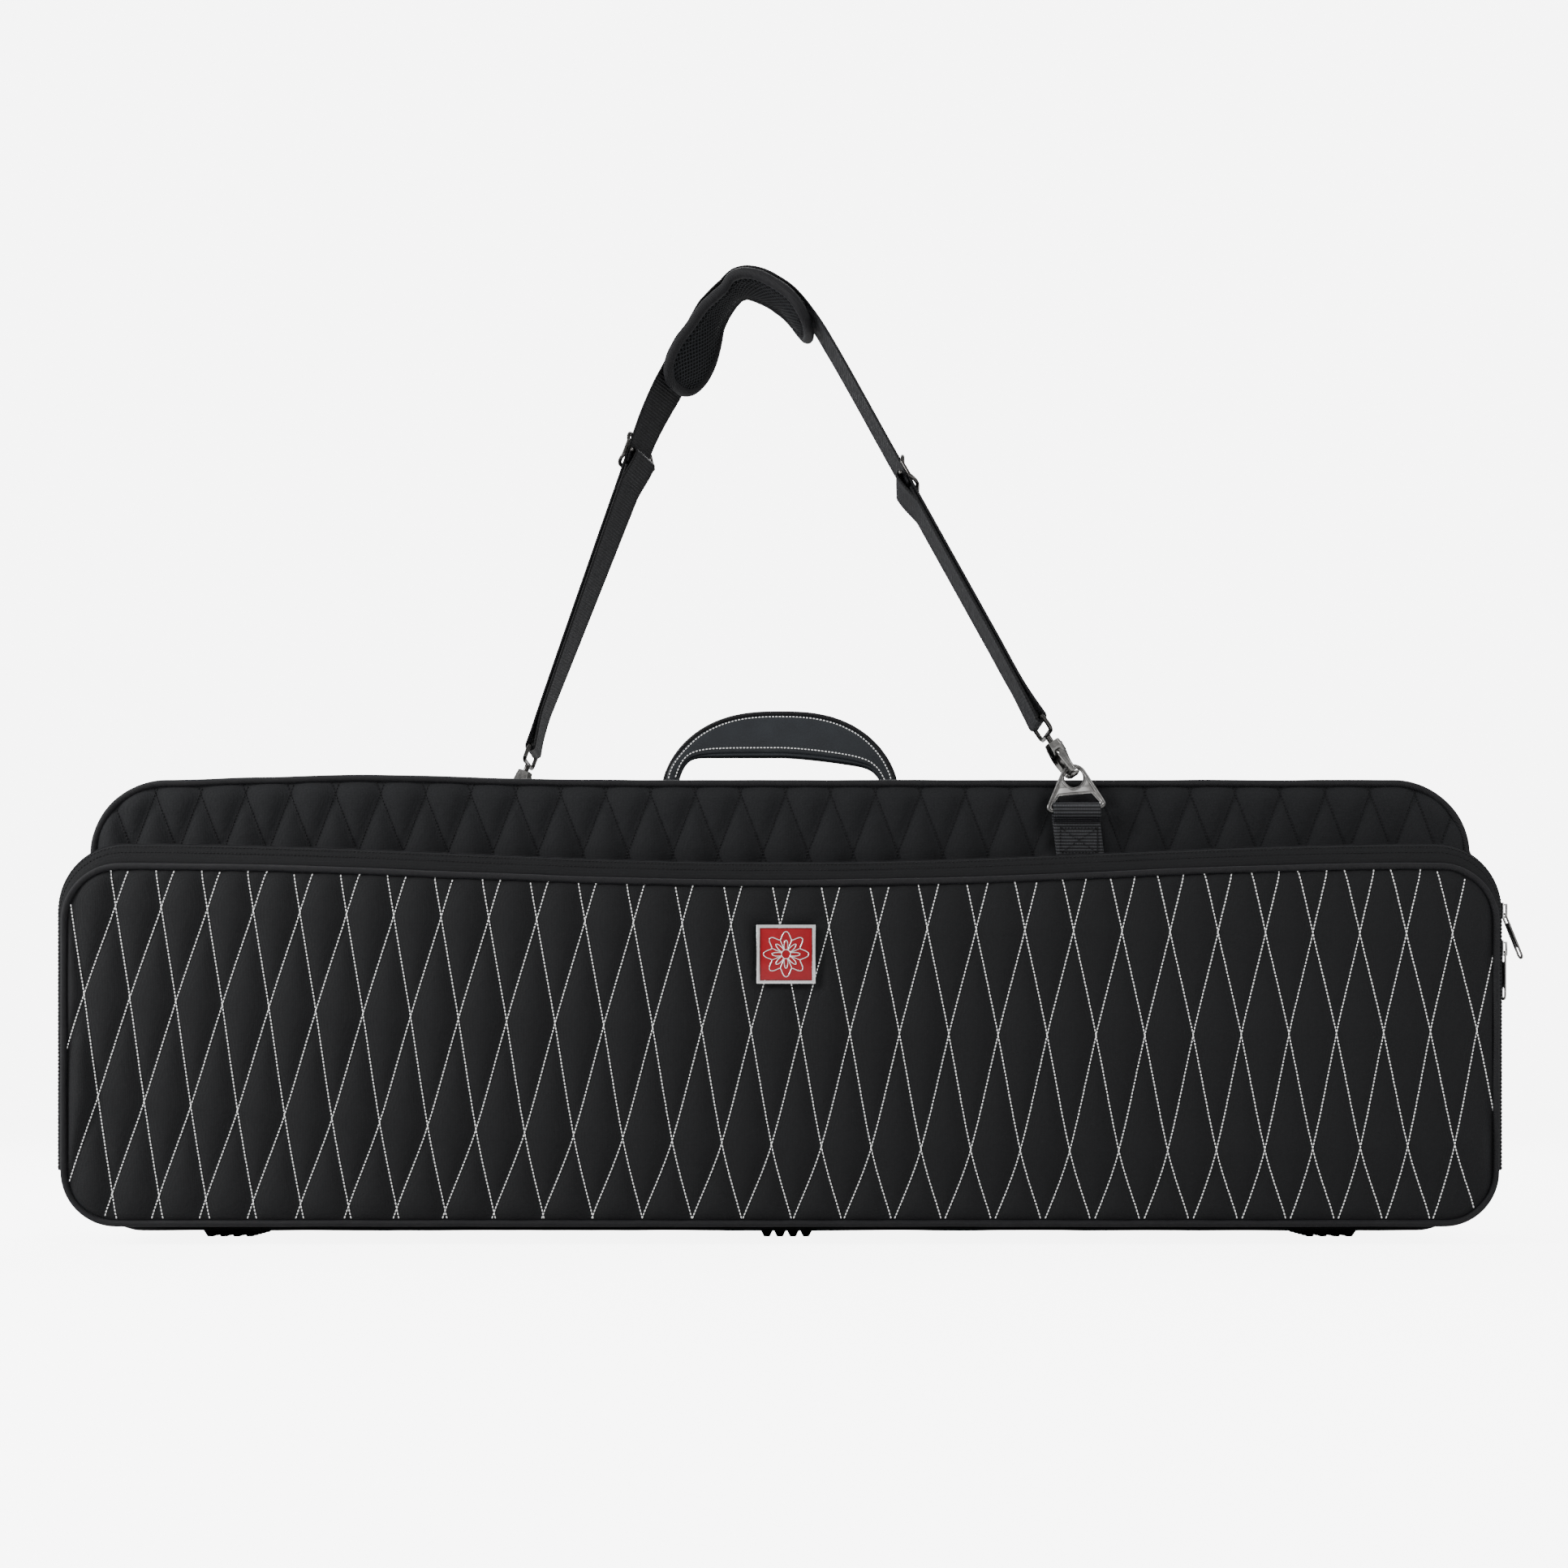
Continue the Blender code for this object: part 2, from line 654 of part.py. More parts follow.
def hook_frame(side):
    """Where a hook hangs: its middle on the ring's arc, z up the strap's leg and x away from the bag."""
    lean = -LEG_LEAN[side]
    up = Vector((math.sin(lean), 0, math.cos(lean)))
    place = Vector((side * RING_X, -side * RING_Y, RING_CENTRE_Z)) + RING_MID_RADIUS * up
    out = Vector((0, -side, 0))
    across = up.cross(out)
    return Matrix.Translation(place) @ Matrix((out, across, up)).transposed().to_4x4()


def claw_outline():
    """Spine, crook and shoulder of the hook in its own x-z plane. Its mouth is on the +x side."""
    spine = [(-0.0046, 0.0150), (-0.0082, 0.0150), (-0.0092, 0.0060), (-0.0088, -0.0028)]
    crook = arc((-0.0018, -0.0020), 0.0062, 205, 270, 5)
    tip = [(0.0052, -0.0080), (0.0078, -0.0066), (0.0078, -0.0042), (0.0060, -0.0043)]
    hollow = [(-0.0022, -0.0045), (-0.0048, -0.0022), (-0.0054, 0.0060), (-0.0030, 0.0100)]
    shoulder = [(0.0020, 0.0110), (0.0030, 0.0150), (0.0010, 0.0195), (-0.0050, 0.0195)]
    return spine + crook + tip + hollow + shoulder


def hook(name, side):
    frame = hook_frame(side)
    claw = flat_curve(name + "_hook", [claw_outline()], HOOK_THICK, 0, metal())
    claw.matrix_world = frame @ Matrix.Rotation(math.radians(90), 4, "X")
    claw = mesh_of(claw)
    barrel = cylinder(name + "_barrel", 0.0058, 0.0065, (0, 0, 0), Matrix.Identity(4), None, 16, True)
    barrel.matrix_world = frame @ Matrix.Translation((-0.001, 0, 0.0218))
    cavity = cylinder(name + "_cavity", 0.0046, 0.0062, (0, 0, 0), Matrix.Identity(4), None, 16, True)
    cavity.matrix_world = frame @ Matrix.Translation((-0.001, 0, 0.0198))
    bore = cylinder(name + "_bore", 0.0027, 0.0200, (0, 0, 0), Matrix.Identity(4), None, 16, True)
    bore.matrix_world = frame @ Matrix.Translation((-0.001, 0, 0.0270))
    relief = box(name + "_relief", (0.0200, 0.0200, 0.0008), (0, 0, 0), None, None, True)
    relief.matrix_world = frame @ Matrix.Translation((0.0118, 0, 0.0186))
    boolean(claw, barrel, "UNION")
    boolean(claw, cavity, "DIFFERENCE")
    boolean(claw, bore, "DIFFERENCE")
    boolean(claw, relief, "DIFFERENCE")
    gate(name, frame)
    eye(name, frame)


def gate(name, frame):
    """The spring gate: a flat leaf from just under the shoulder towards the crook's tip."""
    outline = [(0.0058, 0.0140), (0.0036, 0.0138), (0.0050, 0.0030), (0.0074, 0.0030)]
    leaf = flat_curve(name + "_gate", [outline], 0.0052, 0, metal())
    world = frame @ Matrix.Rotation(math.radians(90), 4, "X")
    pivot = frame @ Vector((0.0046, 0, 0.0134))
    empty = group(name + "_gate_axis", pivot)
    leaf.matrix_world = world
    bpy.context.view_layer.update()
    hang(empty, leaf)


def eye(name, frame):
    """The swivel eye: a bar loop for the webbing on a headed post that turns in the hook's barrel."""
    low = EYE_LOW
    corners = ((1, 0, 0), (1, 1, 90), (-1, 1, 180), (-1, 0, 270))
    radius = 0.004
    points = []
    for x_side, up, start in corners:
        centre = (x_side * (EYE_HALF - radius), low + radius + up * (EYE_DEPTH - 2 * radius))
        first = {0: -90, 90: 0, 180: 90, 270: 180}[start]
        points += [(x - 0.001, 0, z) for x, z in arc(centre, radius, first, first + 90, 4)]
    loop = rod_curve(name + "_eye", points, EYE_ROD, True, metal())
    loop.matrix_world = frame
    loop = mesh_of(loop)
    post = cylinder(name + "_post", 0.0023, 0.0130, (0, 0, 0), Matrix.Identity(4), None, 16, True)
    post.matrix_world = frame @ Matrix.Translation((-0.001, 0, 0.0255))
    head = cylinder(name + "_head", 0.0040, 0.0022, (0, 0, 0), Matrix.Identity(4), None, 16, True)
    head.matrix_world = frame @ Matrix.Translation((-0.001, 0, 0.0200))
    boolean(loop, post, "UNION")
    boolean(loop, head, "UNION")


def smooth(points, steps):
    """A Catmull-Rom curve through points."""
    path = []
    ends = [2 * points[0] - points[1]] + points + [2 * points[-1] - points[-2]]
    for i in range(1, len(ends) - 2):
        a, b, c, d = ends[i - 1:i + 3]
        square = 2 * a - 5 * b + 4 * c - d
        cube = 3 * b - a - 3 * c + d
        for k in range(steps):
            t = k / steps
            path.append(b + 0.5 * t * ((c - a) + t * (square + t * cube)))
    path.append(points[-1])
    return path


def eye_bar(side):
    """The middle of the bar the webbing goes round, the way up the leg, and the way in under the strap."""
    frame = hook_frame(side)
    up = frame.to_3x3() @ Vector((0, 0, 1))
    inward = side * up.cross(Vector((0, 1, 0)))
    return frame @ Vector((-0.001, 0, EYE_LOW + EYE_DEPTH)), up, inward


def leg_line(side):
    """A leg's points from its eye to just above its adjuster, straight from a little above the eye."""
    bar, up, inward = eye_bar(side)
    start = bar - BAR_GAP * inward
    lower = start + 0.030 * up
    upper = ADJUSTER_END[side]
    return [start] + [lower.lerp(upper, share) for share in (0, 0.2, 0.4, 0.6, 0.8, 1.0, 1.06)]


def strap_path():
    """The strap's middle line from the rear eye over the shoulder pad to the front eye."""
    crown = [Vector(p) for p in (
        (-0.075, 0.022, 0.738), (-0.060, 0.014, 0.765), (-0.034, 0.002, STRAP_TOP),
        (-0.002, -0.007, 0.770), (0.030, -0.013, 0.738))]
    return smooth(leg_line(-1) + crown + leg_line(1)[::-1], 5)


def twist_at(run):
    """How far the strap is turned about its own length, at a distance past its highest point."""
    for (start, low), (end, high) in zip(TWIST, TWIST[1:]):
        if start <= run < end:
            return math.radians(low + (high - low) * (run - start) / (end - start))
    return 0.0


def runs_of(path):
    """Distances along a path, counted from its highest point."""
    runs = [0.0]
    for a, b in zip(path, path[1:]):
        runs.append(runs[-1] + (b - a).length)
    top = max(range(len(path)), key=lambda i: path[i].z)
    return [run - runs[top] for run in runs]


def frames_along(path):
    """For each point: its place, the webbing's width direction, the way ahead, and the way in underneath."""
    frames = []
    for i, run in enumerate(runs_of(path)):
        ahead = path[min(i + 1, len(path) - 1)] - path[max(i - 1, 0)]
        ahead.normalize()
        across = Vector((0, 1, 0))
        across -= across.dot(ahead) * ahead
        across.normalize()
        across = Matrix.Rotation(-twist_at(run), 3, ahead) @ across
        frames.append((path[i], across, ahead, across.cross(ahead)))
    return frames


def row(frame, width, inward):
    place, across, _, normal = frame
    middle = place + inward * normal
    return [middle - across * width / 2, middle + across * width / 2]


def return_rows(side, frames):
    """The webbing's way round the eye's bar and back up inside the leg, to the adjuster's middle bar."""
    bar, up, inward = eye_bar(side)
    half = Vector((0, WEB_WIDTH / 2, 0))
    rows = []
    for i in range(1, 8):
        turn = math.pi * i / 8
        middle = bar - BAR_GAP * (math.cos(turn) * inward + math.sin(turn) * up)
        rows.append([middle - half, middle + half])
    start = frames[0][0]
    for frame in frames:
        run = (frame[0] - start).length
        if run > (ADJUSTER_END[side] - start).length * ADJUSTER_SHARE:
            break
        spread = max(0.0, 1 - run / 0.035) ** 1.5
        rows.append(row(frame, WEB_WIDTH, LAYER_PITCH + (2 * BAR_GAP - LAYER_PITCH) * spread))
    return rows


def strap():
    frames = frames_along(strap_path())
    main = [row(frame, WEB_WIDTH, 0) for frame in frames]
    rear = return_rows(-1, frames)
    front = return_rows(1, frames[::-1])
    sheet_from("strap_webbing", rear[::-1] + main + front, WEB_THICK, webbing())
    shoulder_pad(frames)
    adjuster("rear", -1, frames)
    adjuster("front", 1, frames)


def shoulder_pad(frames):
    drop = WEB_THICK / 2 + PAD_THICK / 2 + PAD_GAP
    runs = runs_of([frame[0] for frame in frames])
    padded = [frame for frame, run in zip(frames, runs) if abs(run + PAD_SHIFT) < PAD_HALF]
    rows = [row(frame, PAD_WIDTH, drop) for frame in padded]
    sheet_from("shoulder_pad", rows, PAD_THICK, material("pad_cloth", TRIM, 0.9, 0.0))


def adjuster(name, side, frames):
    """A slide whose middle bar lies over both layers of webbing and whose end bars lie under them."""
    bar, _, _ = eye_bar(side)
    target = bar.lerp(ADJUSTER_END[side], ADJUSTER_SHARE)
    place, across, ahead, normal = min(frames, key=lambda f: (f[0] - target).length)
    frame = Matrix.Translation(place) @ Matrix((across, ahead, normal)).transposed().to_4x4()
    half = WEB_WIDTH / 2 + 0.0022
    bar_thick = 0.0018
    over = -(WEB_THICK / 2 + 0.0005 + bar_thick / 2)
    under = LAYER_PITCH - over
    rail = (0.0024, 0.026, under - over + bar_thick)
    middle = (under + over) / 2
    body = box(name + "_adjuster", rail, (0, 0, 0), metal())
    body.matrix_world = frame @ Matrix.Translation((half, 0, middle))
    extras = (
        (rail, (-half, 0, middle)),
        ((2 * half, 0.0026, bar_thick), (0, 0, over)),
        ((2 * half, 0.0026, bar_thick), (0, 0.0115, under)),
        ((2 * half, 0.0026, bar_thick), (0, -0.0115, under)),
    )
    for i, (size, offset) in enumerate(extras):
        extra = box(f"{name}_adjuster_piece_{i}", size, (0, 0, 0), None, None, True)
        extra.matrix_world = frame @ Matrix.Translation(offset)
        boolean(body, extra, "UNION")


clear_scene()
parts = collection("padded_zither_case")
guides = collection("cutters", True)
shell()
lid()
pocket()
badge()
foot("foot_left", -FOOT_X)
foot("foot_middle", FOOT_PITCH / 2)
foot("foot_right", FOOT_X)
zip_pulls()
handle()
for ring_name, ring_side in (("rear", -1), ("front", 1)):
    ring_and_tab(ring_name, ring_side)
    hook(ring_name, ring_side)
strap()
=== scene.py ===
"""Looks of the padded zither case: quilted cloth, bound edges, zips, handle, webbing strap and metal fittings.
Everything is in metres in the part's own frame: +Z up, front towards -Y."""

import json
import math

import bmesh
import bpy
import numpy as np
from mathutils import Matrix, Vector, noise
from mathutils.bvhtree import BVHTree
from mathutils.geometry import tessellate_polygon

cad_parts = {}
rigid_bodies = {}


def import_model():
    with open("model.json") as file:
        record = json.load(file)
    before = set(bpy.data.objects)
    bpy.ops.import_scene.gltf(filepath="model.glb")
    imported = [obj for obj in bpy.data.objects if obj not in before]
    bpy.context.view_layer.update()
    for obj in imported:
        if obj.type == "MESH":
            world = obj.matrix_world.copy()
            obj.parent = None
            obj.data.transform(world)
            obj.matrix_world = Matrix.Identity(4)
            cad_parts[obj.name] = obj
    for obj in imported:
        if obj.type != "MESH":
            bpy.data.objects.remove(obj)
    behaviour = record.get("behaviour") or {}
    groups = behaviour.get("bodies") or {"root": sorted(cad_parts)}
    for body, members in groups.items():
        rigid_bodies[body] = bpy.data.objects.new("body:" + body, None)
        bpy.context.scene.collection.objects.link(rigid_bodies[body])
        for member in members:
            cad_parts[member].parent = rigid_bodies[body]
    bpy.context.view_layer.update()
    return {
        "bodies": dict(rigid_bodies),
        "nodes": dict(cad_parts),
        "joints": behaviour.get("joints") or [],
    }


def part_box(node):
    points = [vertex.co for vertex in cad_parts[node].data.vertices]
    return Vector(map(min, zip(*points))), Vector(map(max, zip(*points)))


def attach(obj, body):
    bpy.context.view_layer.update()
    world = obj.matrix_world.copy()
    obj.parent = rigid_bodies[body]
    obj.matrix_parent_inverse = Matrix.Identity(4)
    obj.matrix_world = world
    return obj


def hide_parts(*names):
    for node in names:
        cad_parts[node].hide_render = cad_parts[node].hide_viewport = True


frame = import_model()

MM = 0.001
DEPTH = np.array([0, 1.0, 0])

# Quilting: the spacing of the stitched lines along a row, one stitch, and the swelling between the lines.
PITCH = 35.5 * MM
STITCH = (2.15 * MM, 2.65 * MM, 0.44 * MM)
SEAM_REACH = 7 * MM
SEAM_MARGIN = 1.2 * MM
SHORTEST_SEAM = 12
PRESS_REACH = 9 * MM
EDGE_TUCK = 1.6 * MM
PUFF_LIMIT = 7 * MM
SIM_FRAMES = 20
SIM_PRESSURE = 4.0

# The pocket's stitched lines spread out from the first of these places, over a wave as long as the second.
SPREAD_CENTRE, SPREAD_WAVE = 0.048, 1.5

# The slack crest in the shell's top edge: its place and its width.
CREST_CENTRE, CREST_WIDTH = -0.33, 0.11

# Spacing of the points along the edges, and of the ribs across the webbing.
CORD_STEP = 4 * MM
WALL_STEP = 5 * MM
TOOTH_PITCH = 1.55 * MM
RIB = 2.5 * MM


# ---- materials

def feed(node, inputs):
    """Gives a node its inputs, by name or number. Each is a value or another node's output."""
    for key, value in inputs.items():
        if isinstance(value, bpy.types.NodeSocket):
            node.id_data.links.new(value, node.inputs[key])
        else:
            node.inputs[key].default_value = value
    return node.outputs


class Skin:
    """A procedural material under construction."""

    def __init__(self, name, colour, roughness, metallic=0.0):
        self.material = bpy.data.materials.new(name)
        self.material.use_nodes = True
        self.tree = self.material.node_tree
        self.places = self.add("ShaderNodeTexCoord")
        self.relief = None
        self.set({"Metallic": metallic, "Roughness": roughness, "Base Color": (*colour, 1)})
        if not metallic and max(colour) < 0.1:
            self.set({"Specular IOR Level": 0.16})

    def set(self, inputs):
        feed(self.tree.nodes["Principled BSDF"], inputs)

    def add(self, kind, inputs=None, **settings):
        node = self.tree.nodes.new(kind)
        for key, value in settings.items():
            setattr(node, key, value)
        return feed(node, inputs or {})

    def math(self, operation, a, b=0.0):
        return self.add("ShaderNodeMath", {0: a, 1: b}, operation=operation)[0]

    def line(self, a, weight, b):
        """a times weight, plus b."""
        return self.math("ADD", self.math("MULTIPLY", a, weight), b)

    def dot(self, a, b):
        return self.add("ShaderNodeVectorMath", {0: a, 1: b}, operation="DOT_PRODUCT")["Value"]

    def mapped(self, value, start, end, low=0.0, high=1.0):
        """A value's way from start to end, carried onto low to high."""
        inputs = {"Value": value, "From Min": start, "From Max": end, "To Min": low, "To Max": high}
        return self.add("ShaderNodeMapRange", inputs)["Result"]

    def scaled(self, place, size):
        inputs = {"Scale": [1 / size] * 3, "Vector": self.places[place]}
        return self.add("ShaderNodeMapping", inputs)["Vector"]

    def noise(self, size, detail=3.0, place="Object"):
        """Soft blotches about this size, from 0 to 1."""
        inputs = {"Scale": 1.0, "Detail": detail, "Vector": self.scaled(place, size)}
        return self.add("ShaderNodeTexNoise", inputs)["Fac"]

    def ripple(self, direction, period, place="Object"):
        """A sine wave along a direction, from -1 to 1."""
        rate = 2 * math.pi / math.hypot(*direction) / period
        return self.math("SINE", self.dot(self.places[place], [rate * d for d in direction]))

    def weave(self, period):
        waves = [self.ripple(direction, period) for direction in ((1, 0, 0), (0, 1, 0), (0, 0, 1))]
        return self.math("ADD", self.math("ADD", waves[0], waves[1]), waves[2])

    def shade(self, dark, light, share):
        """The base colour runs from dark to light with share."""
        inputs = {"A": (*dark, 1), "B": (*light, 1), "Factor": share}
        self.set({"Base Color": self.add("ShaderNodeMix", inputs, data_type="RGBA")["Result"]})

    def rough(self, low, high, share):
        self.set({"Roughness": self.mapped(share, 0.0, 1.0, low, high)})

    def bump(self, share, depth, strength=0.5):
        """Adds relief. share is a height from about 0 to 1 and depth is its size in metres."""
        inputs = {"Strength": strength, "Distance": depth, "Height": share}
        if self.relief:
            inputs["Normal"] = self.relief
        self.relief = self.add("ShaderNodeBump", inputs)["Normal"]
        self.set({"Normal": self.relief})

    def sheen(self, weight):
        self.set({"Sheen Weight": weight, "Sheen Roughness": 0.4, "Sheen Tint": (0.8, 0.85, 1.0, 1)})

    def edges(self, reach):
        """How near the surface is to a sharp edge, from 0 to 1."""
        rounded = self.add("ShaderNodeBevel", {"Radius": reach}, samples=6)["Normal"]
        return self.mapped(self.dot(self.add("ShaderNodeNewGeometry")["True Normal"], rounded), 0.985, 0.88)


def padded_cloth(name, dark, light, weight):
    skin = Skin(name, dark, 0.85)
    grain = skin.noise(1.1 * MM, 4.0)
    skin.shade(dark, light, skin.line(grain, 0.8, skin.math("MULTIPLY", skin.noise(90 * MM), 0.35)))
    skin.rough(0.72, 0.95, grain)
    skin.bump(skin.noise(14 * MM), 0.9 * MM)
    skin.bump(skin.noise(1.6 * MM, 2.0), 0.35 * MM, 0.7)
    skin.bump(skin.weave(0.9 * MM), 0.05 * MM, 0.8)
    skin.sheen(weight)
    return skin.material


def lining_satin():
    skin = Skin("lining_satin", (0.03, 0.03, 0.034), 0.5)
    skin.shade((0.02, 0.02, 0.023), (0.04, 0.04, 0.046), skin.noise(60 * MM))
    skin.bump(skin.noise(25 * MM), 1.5 * MM, 0.6)
    skin.bump(skin.weave(0.7 * MM), 0.04 * MM, 0.7)
    skin.sheen(0.04)
    return skin.material


def edge_binding():
    skin = Skin("edge_binding", (0.006, 0.006, 0.007), 0.6)
    skin.shade((0.005, 0.005, 0.006), (0.011, 0.011, 0.012), skin.noise(3 * MM, 4.0))
    skin.rough(0.5, 0.75, skin.noise(20 * MM))
    skin.bump(skin.noise(9 * MM), 0.5 * MM)
    skin.bump(skin.ripple((1, 0.6, 1), 1.1 * MM), 0.10 * MM, 0.8)
    skin.sheen(0.02)
    return skin.material


def ribbed_webbing(name, light):
    """Ribs across the strap, each a row of small knots. The crests and knots are painted lighter and the
    grooves between them darker: a painted highlight and painted shade.
    """
    skin = Skin(name, (0.012, 0.012, 0.014), 0.6)
    crest = skin.line(skin.ripple((1, 0, 0), RIB, "UV"), 0.5, 0.5)
    knots = skin.line(skin.ripple((0, 1, 0), 1.25 * MM, "UV"), 0.35, 0.65)
    lit = skin.math("MULTIPLY", crest, knots)
    fibre = skin.noise(0.7 * MM, 3.0, "UV")
    # Painted highlight on the rib crests and knots, painted shade in the grooves between them.
    skin.shade((0.002, 0.002, 0.0024), light, skin.math("MULTIPLY", lit, skin.line(fibre, 0.5, 0.5)))
    skin.rough(0.45, 0.75, skin.noise(6 * MM, 3.0, "UV"))
    skin.bump(lit, 0.35 * MM, 0.9)
    skin.bump(fibre, 0.08 * MM)
    skin.sheen(0.03)
    return skin.material


def zip_cloth():
    skin = Skin("zip_tape_cloth", (0.007, 0.007, 0.008), 0.7)
    skin.shade((0.005, 0.005, 0.006), (0.012, 0.012, 0.013), skin.noise(0.8 * MM))
    skin.bump(skin.weave(0.6 * MM), 0.06 * MM, 0.9)
    skin.sheen(0.02)
    return skin.material


def coil_nylon():
    skin = Skin("coil_nylon", (0.008, 0.008, 0.009), 0.35)
    skin.rough(0.28, 0.45, skin.noise(4 * MM))
    skin.bump(skin.noise(0.6 * MM), 0.04 * MM, 0.6)
    return skin.material


def thread(name, colour, dark, glow=0.0):
    """Twisted polyester. glow lifts a pale thread the way light coming through its fibres does."""
    skin = Skin(name, colour, 0.55)
    skin.shade(dark, colour, skin.noise(1.5 * MM))
    skin.bump(skin.ripple((1, 0.4, -1), 0.5 * MM), 0.08 * MM, 0.8)
    skin.set({"Emission Color": (*colour, 1), "Emission Strength": glow})
    return skin.material


def smooth_hide():
    skin = Skin("smooth_hide", (0.02, 0.024, 0.03), 0.42)
    inputs = {"Scale": 1.0, "Vector": skin.scaled("Object", 1.3 * MM)}
    cells = skin.add("ShaderNodeTexVoronoi", inputs, feature="DISTANCE_TO_EDGE")["Distance"]
    skin.shade((0.011, 0.0125, 0.015), (0.021, 0.024, 0.028), skin.noise(18 * MM))
    skin.rough(0.36, 0.56, skin.noise(7 * MM))
    skin.bump(skin.noise(22 * MM, 4.0), 1.2 * MM)
    skin.bump(cells, 0.12 * MM)
    skin.set({"Coat Weight": 0.10, "Coat Roughness": 0.4})
    return skin.material


def air_mesh():
    """A knitted mesh: diamond holes between rounded yarns."""
    skin = Skin("air_mesh", (0.008, 0.008, 0.009), 0.7)
    yarns = [skin.ripple((1, way, 0), 3.1 * MM, "UV") for way in (1, -1)]
    lifted = skin.math("MULTIPLY", skin.math("ADD", skin.math("MAXIMUM", *yarns), 1.0), 0.5)
    # The holes and the hollows between the yarns are painted near black: painted shade.
    skin.shade((0.0002, 0.0002, 0.0002), (0.019, 0.020, 0.0222), skin.math("POWER", lifted, 2.6))
    skin.bump(lifted, 0.9 * MM, 1.0)
    skin.bump(skin.noise(0.5 * MM, 2.0, "UV"), 0.05 * MM)
    skin.set({"Specular IOR Level": 0.06})
    return skin.material


def metal(name, dark, light, low, high, edge_wear_and_highlight=0.5):
    """low and high are the roughness, and the last argument is how much lighter its sharp edges are painted,
    partly for rubbed wear and partly as a painted highlight.
    """
    skin = Skin(name, dark, 0.3, 1.0)
    marks = skin.noise(2.5 * MM, 5.0)
    # The sharp edges are painted lighter: rubbed wear, and a painted highlight along them.
    skin.shade(dark, light, skin.line(skin.edges(0.7 * MM), edge_wear_and_highlight, skin.math("MULTIPLY", marks, 0.35)))
    skin.rough(low, high, marks)
    skin.bump(skin.noise(0.6 * MM, 4.0), 0.03 * MM)
    skin.bump(skin.noise(3 * MM, 2.0), 0.05 * MM, 0.4)
    return skin.material


def foot_rubber():
    skin = Skin("foot_rubber", (0.012, 0.012, 0.012), 0.6)
    # The sharp edges are painted lighter: a painted highlight.
    skin.shade((0.008, 0.008, 0.008), (0.03, 0.029, 0.028), skin.math("MULTIPLY", skin.edges(0.5 * MM), 0.7))
    skin.rough(0.45, 0.7, skin.noise(3 * MM))
    skin.bump(skin.noise(0.5 * MM, 4.0), 0.06 * MM, 0.6)
    return skin.material


def badge_enamel():
    skin = Skin("badge_enamel", (0.22, 0.0, 0.004), 0.18)
    skin.shade((0.19, 0.0, 0.003), (0.27, 0.0, 0.006), skin.noise(5 * MM))
    skin.rough(0.12, 0.26, skin.noise(3 * MM))
    skin.bump(skin.noise(4 * MM), 0.05 * MM)
    skin.set({"Specular IOR Level": 0.3})
    return skin.material


CLOTH = padded_cloth("padded_cloth", (0.0045, 0.0048, 0.0054), (0.0125, 0.013, 0.0142), 0.03)
POCKET_CLOTH = padded_cloth("pocket_cloth", (0.0032, 0.0033, 0.0037), (0.0095, 0.0098, 0.0106), 0.02)
LINING = lining_satin()
BINDING = edge_binding()
WEBBING = ribbed_webbing("ribbed_webbing", (0.010, 0.010, 0.0112))
# The tab is the strap's black webbing with its rib crests painted much lighter: a painted highlight.
TAB_WEBBING = ribbed_webbing("tab_webbing", (0.085, 0.088, 0.095))
TAPE = zip_cloth()
COIL = coil_nylon()
WHITE_THREAD = thread("white_thread", (0.85, 0.85, 0.84), (0.66, 0.66, 0.66), 0.45)
BLACK_THREAD = thread("black_thread", (0.007, 0.007, 0.008), (0.003, 0.003, 0.0035))
HIDE = smooth_hide()
MESH = air_mesh()
GUNMETAL = metal("gunmetal_plate", (0.02, 0.0195, 0.019), (0.50, 0.49, 0.48), 0.20, 0.44, 0.9)
POLISHED = metal("polished_gunmetal", (0.035, 0.034, 0.032), (0.75, 0.74, 0.72), 0.10, 0.24)
NICKEL = metal("black_nickel", (0.006, 0.006, 0.006), (0.26, 0.25, 0.24), 0.12, 0.28, 0.35)
BRIGHT = metal("bright_steel", (0.42, 0.42, 0.42), (0.85, 0.85, 0.85), 0.12, 0.28)
SILVER = metal("silver_edge_metal", (0.55, 0.55, 0.55), (0.86, 0.86, 0.86), 0.18, 0.34)
RUBBER = foot_rubber()
ENAMEL = badge_enamel()


# ---- mesh helpers

def placed(name, mesh):
    obj = bpy.data.objects.new(name, mesh)
    bpy.context.scene.collection.objects.link(obj)
    return obj


def piece(name, mesh, skin, body, replaces=()):
    """Puts a mesh in the scene as a piece that rides on a body."""
    obj = placed(name, mesh)
    mesh.materials.clear()
    mesh.materials.append(skin)
    mesh.shade_smooth()
    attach(obj, body)
    if replaces:
        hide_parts(*replaces)
    return obj


def changed(obj, kind, **settings):
    """An object with one more modifier."""
    modifier = obj.modifiers.new(kind.lower(), kind)
    for key, value in settings.items():
        setattr(modifier, key, value)
    return obj


def softened(obj):
    return changed(obj, "SUBSURF", levels=1, render_levels=1)


def bevelled(obj, width, angle=30):
    limit = math.radians(angle)
    return changed(obj, "BEVEL", width=width, segments=2, limit_method="ANGLE", angle_limit=limit)


def made(bm, name):
    """A mesh from an edit mesh, which is freed."""
    mesh = bpy.data.meshes.new(name)
    bm.to_mesh(mesh)
    bm.free()
    return mesh


def unit(vectors):
    return vectors / np.maximum(np.linalg.norm(vectors, axis=-1, keepdims=True), 1e-12)


def distances(places):
    """How far along its run each place is."""
    return np.concatenate([[0], np.cumsum(np.linalg.norm(np.diff(places, axis=0), axis=1))])


def sampled(marks, runs, rows):
    return np.stack([np.interp(marks, runs, column) for column in rows.T], 1)


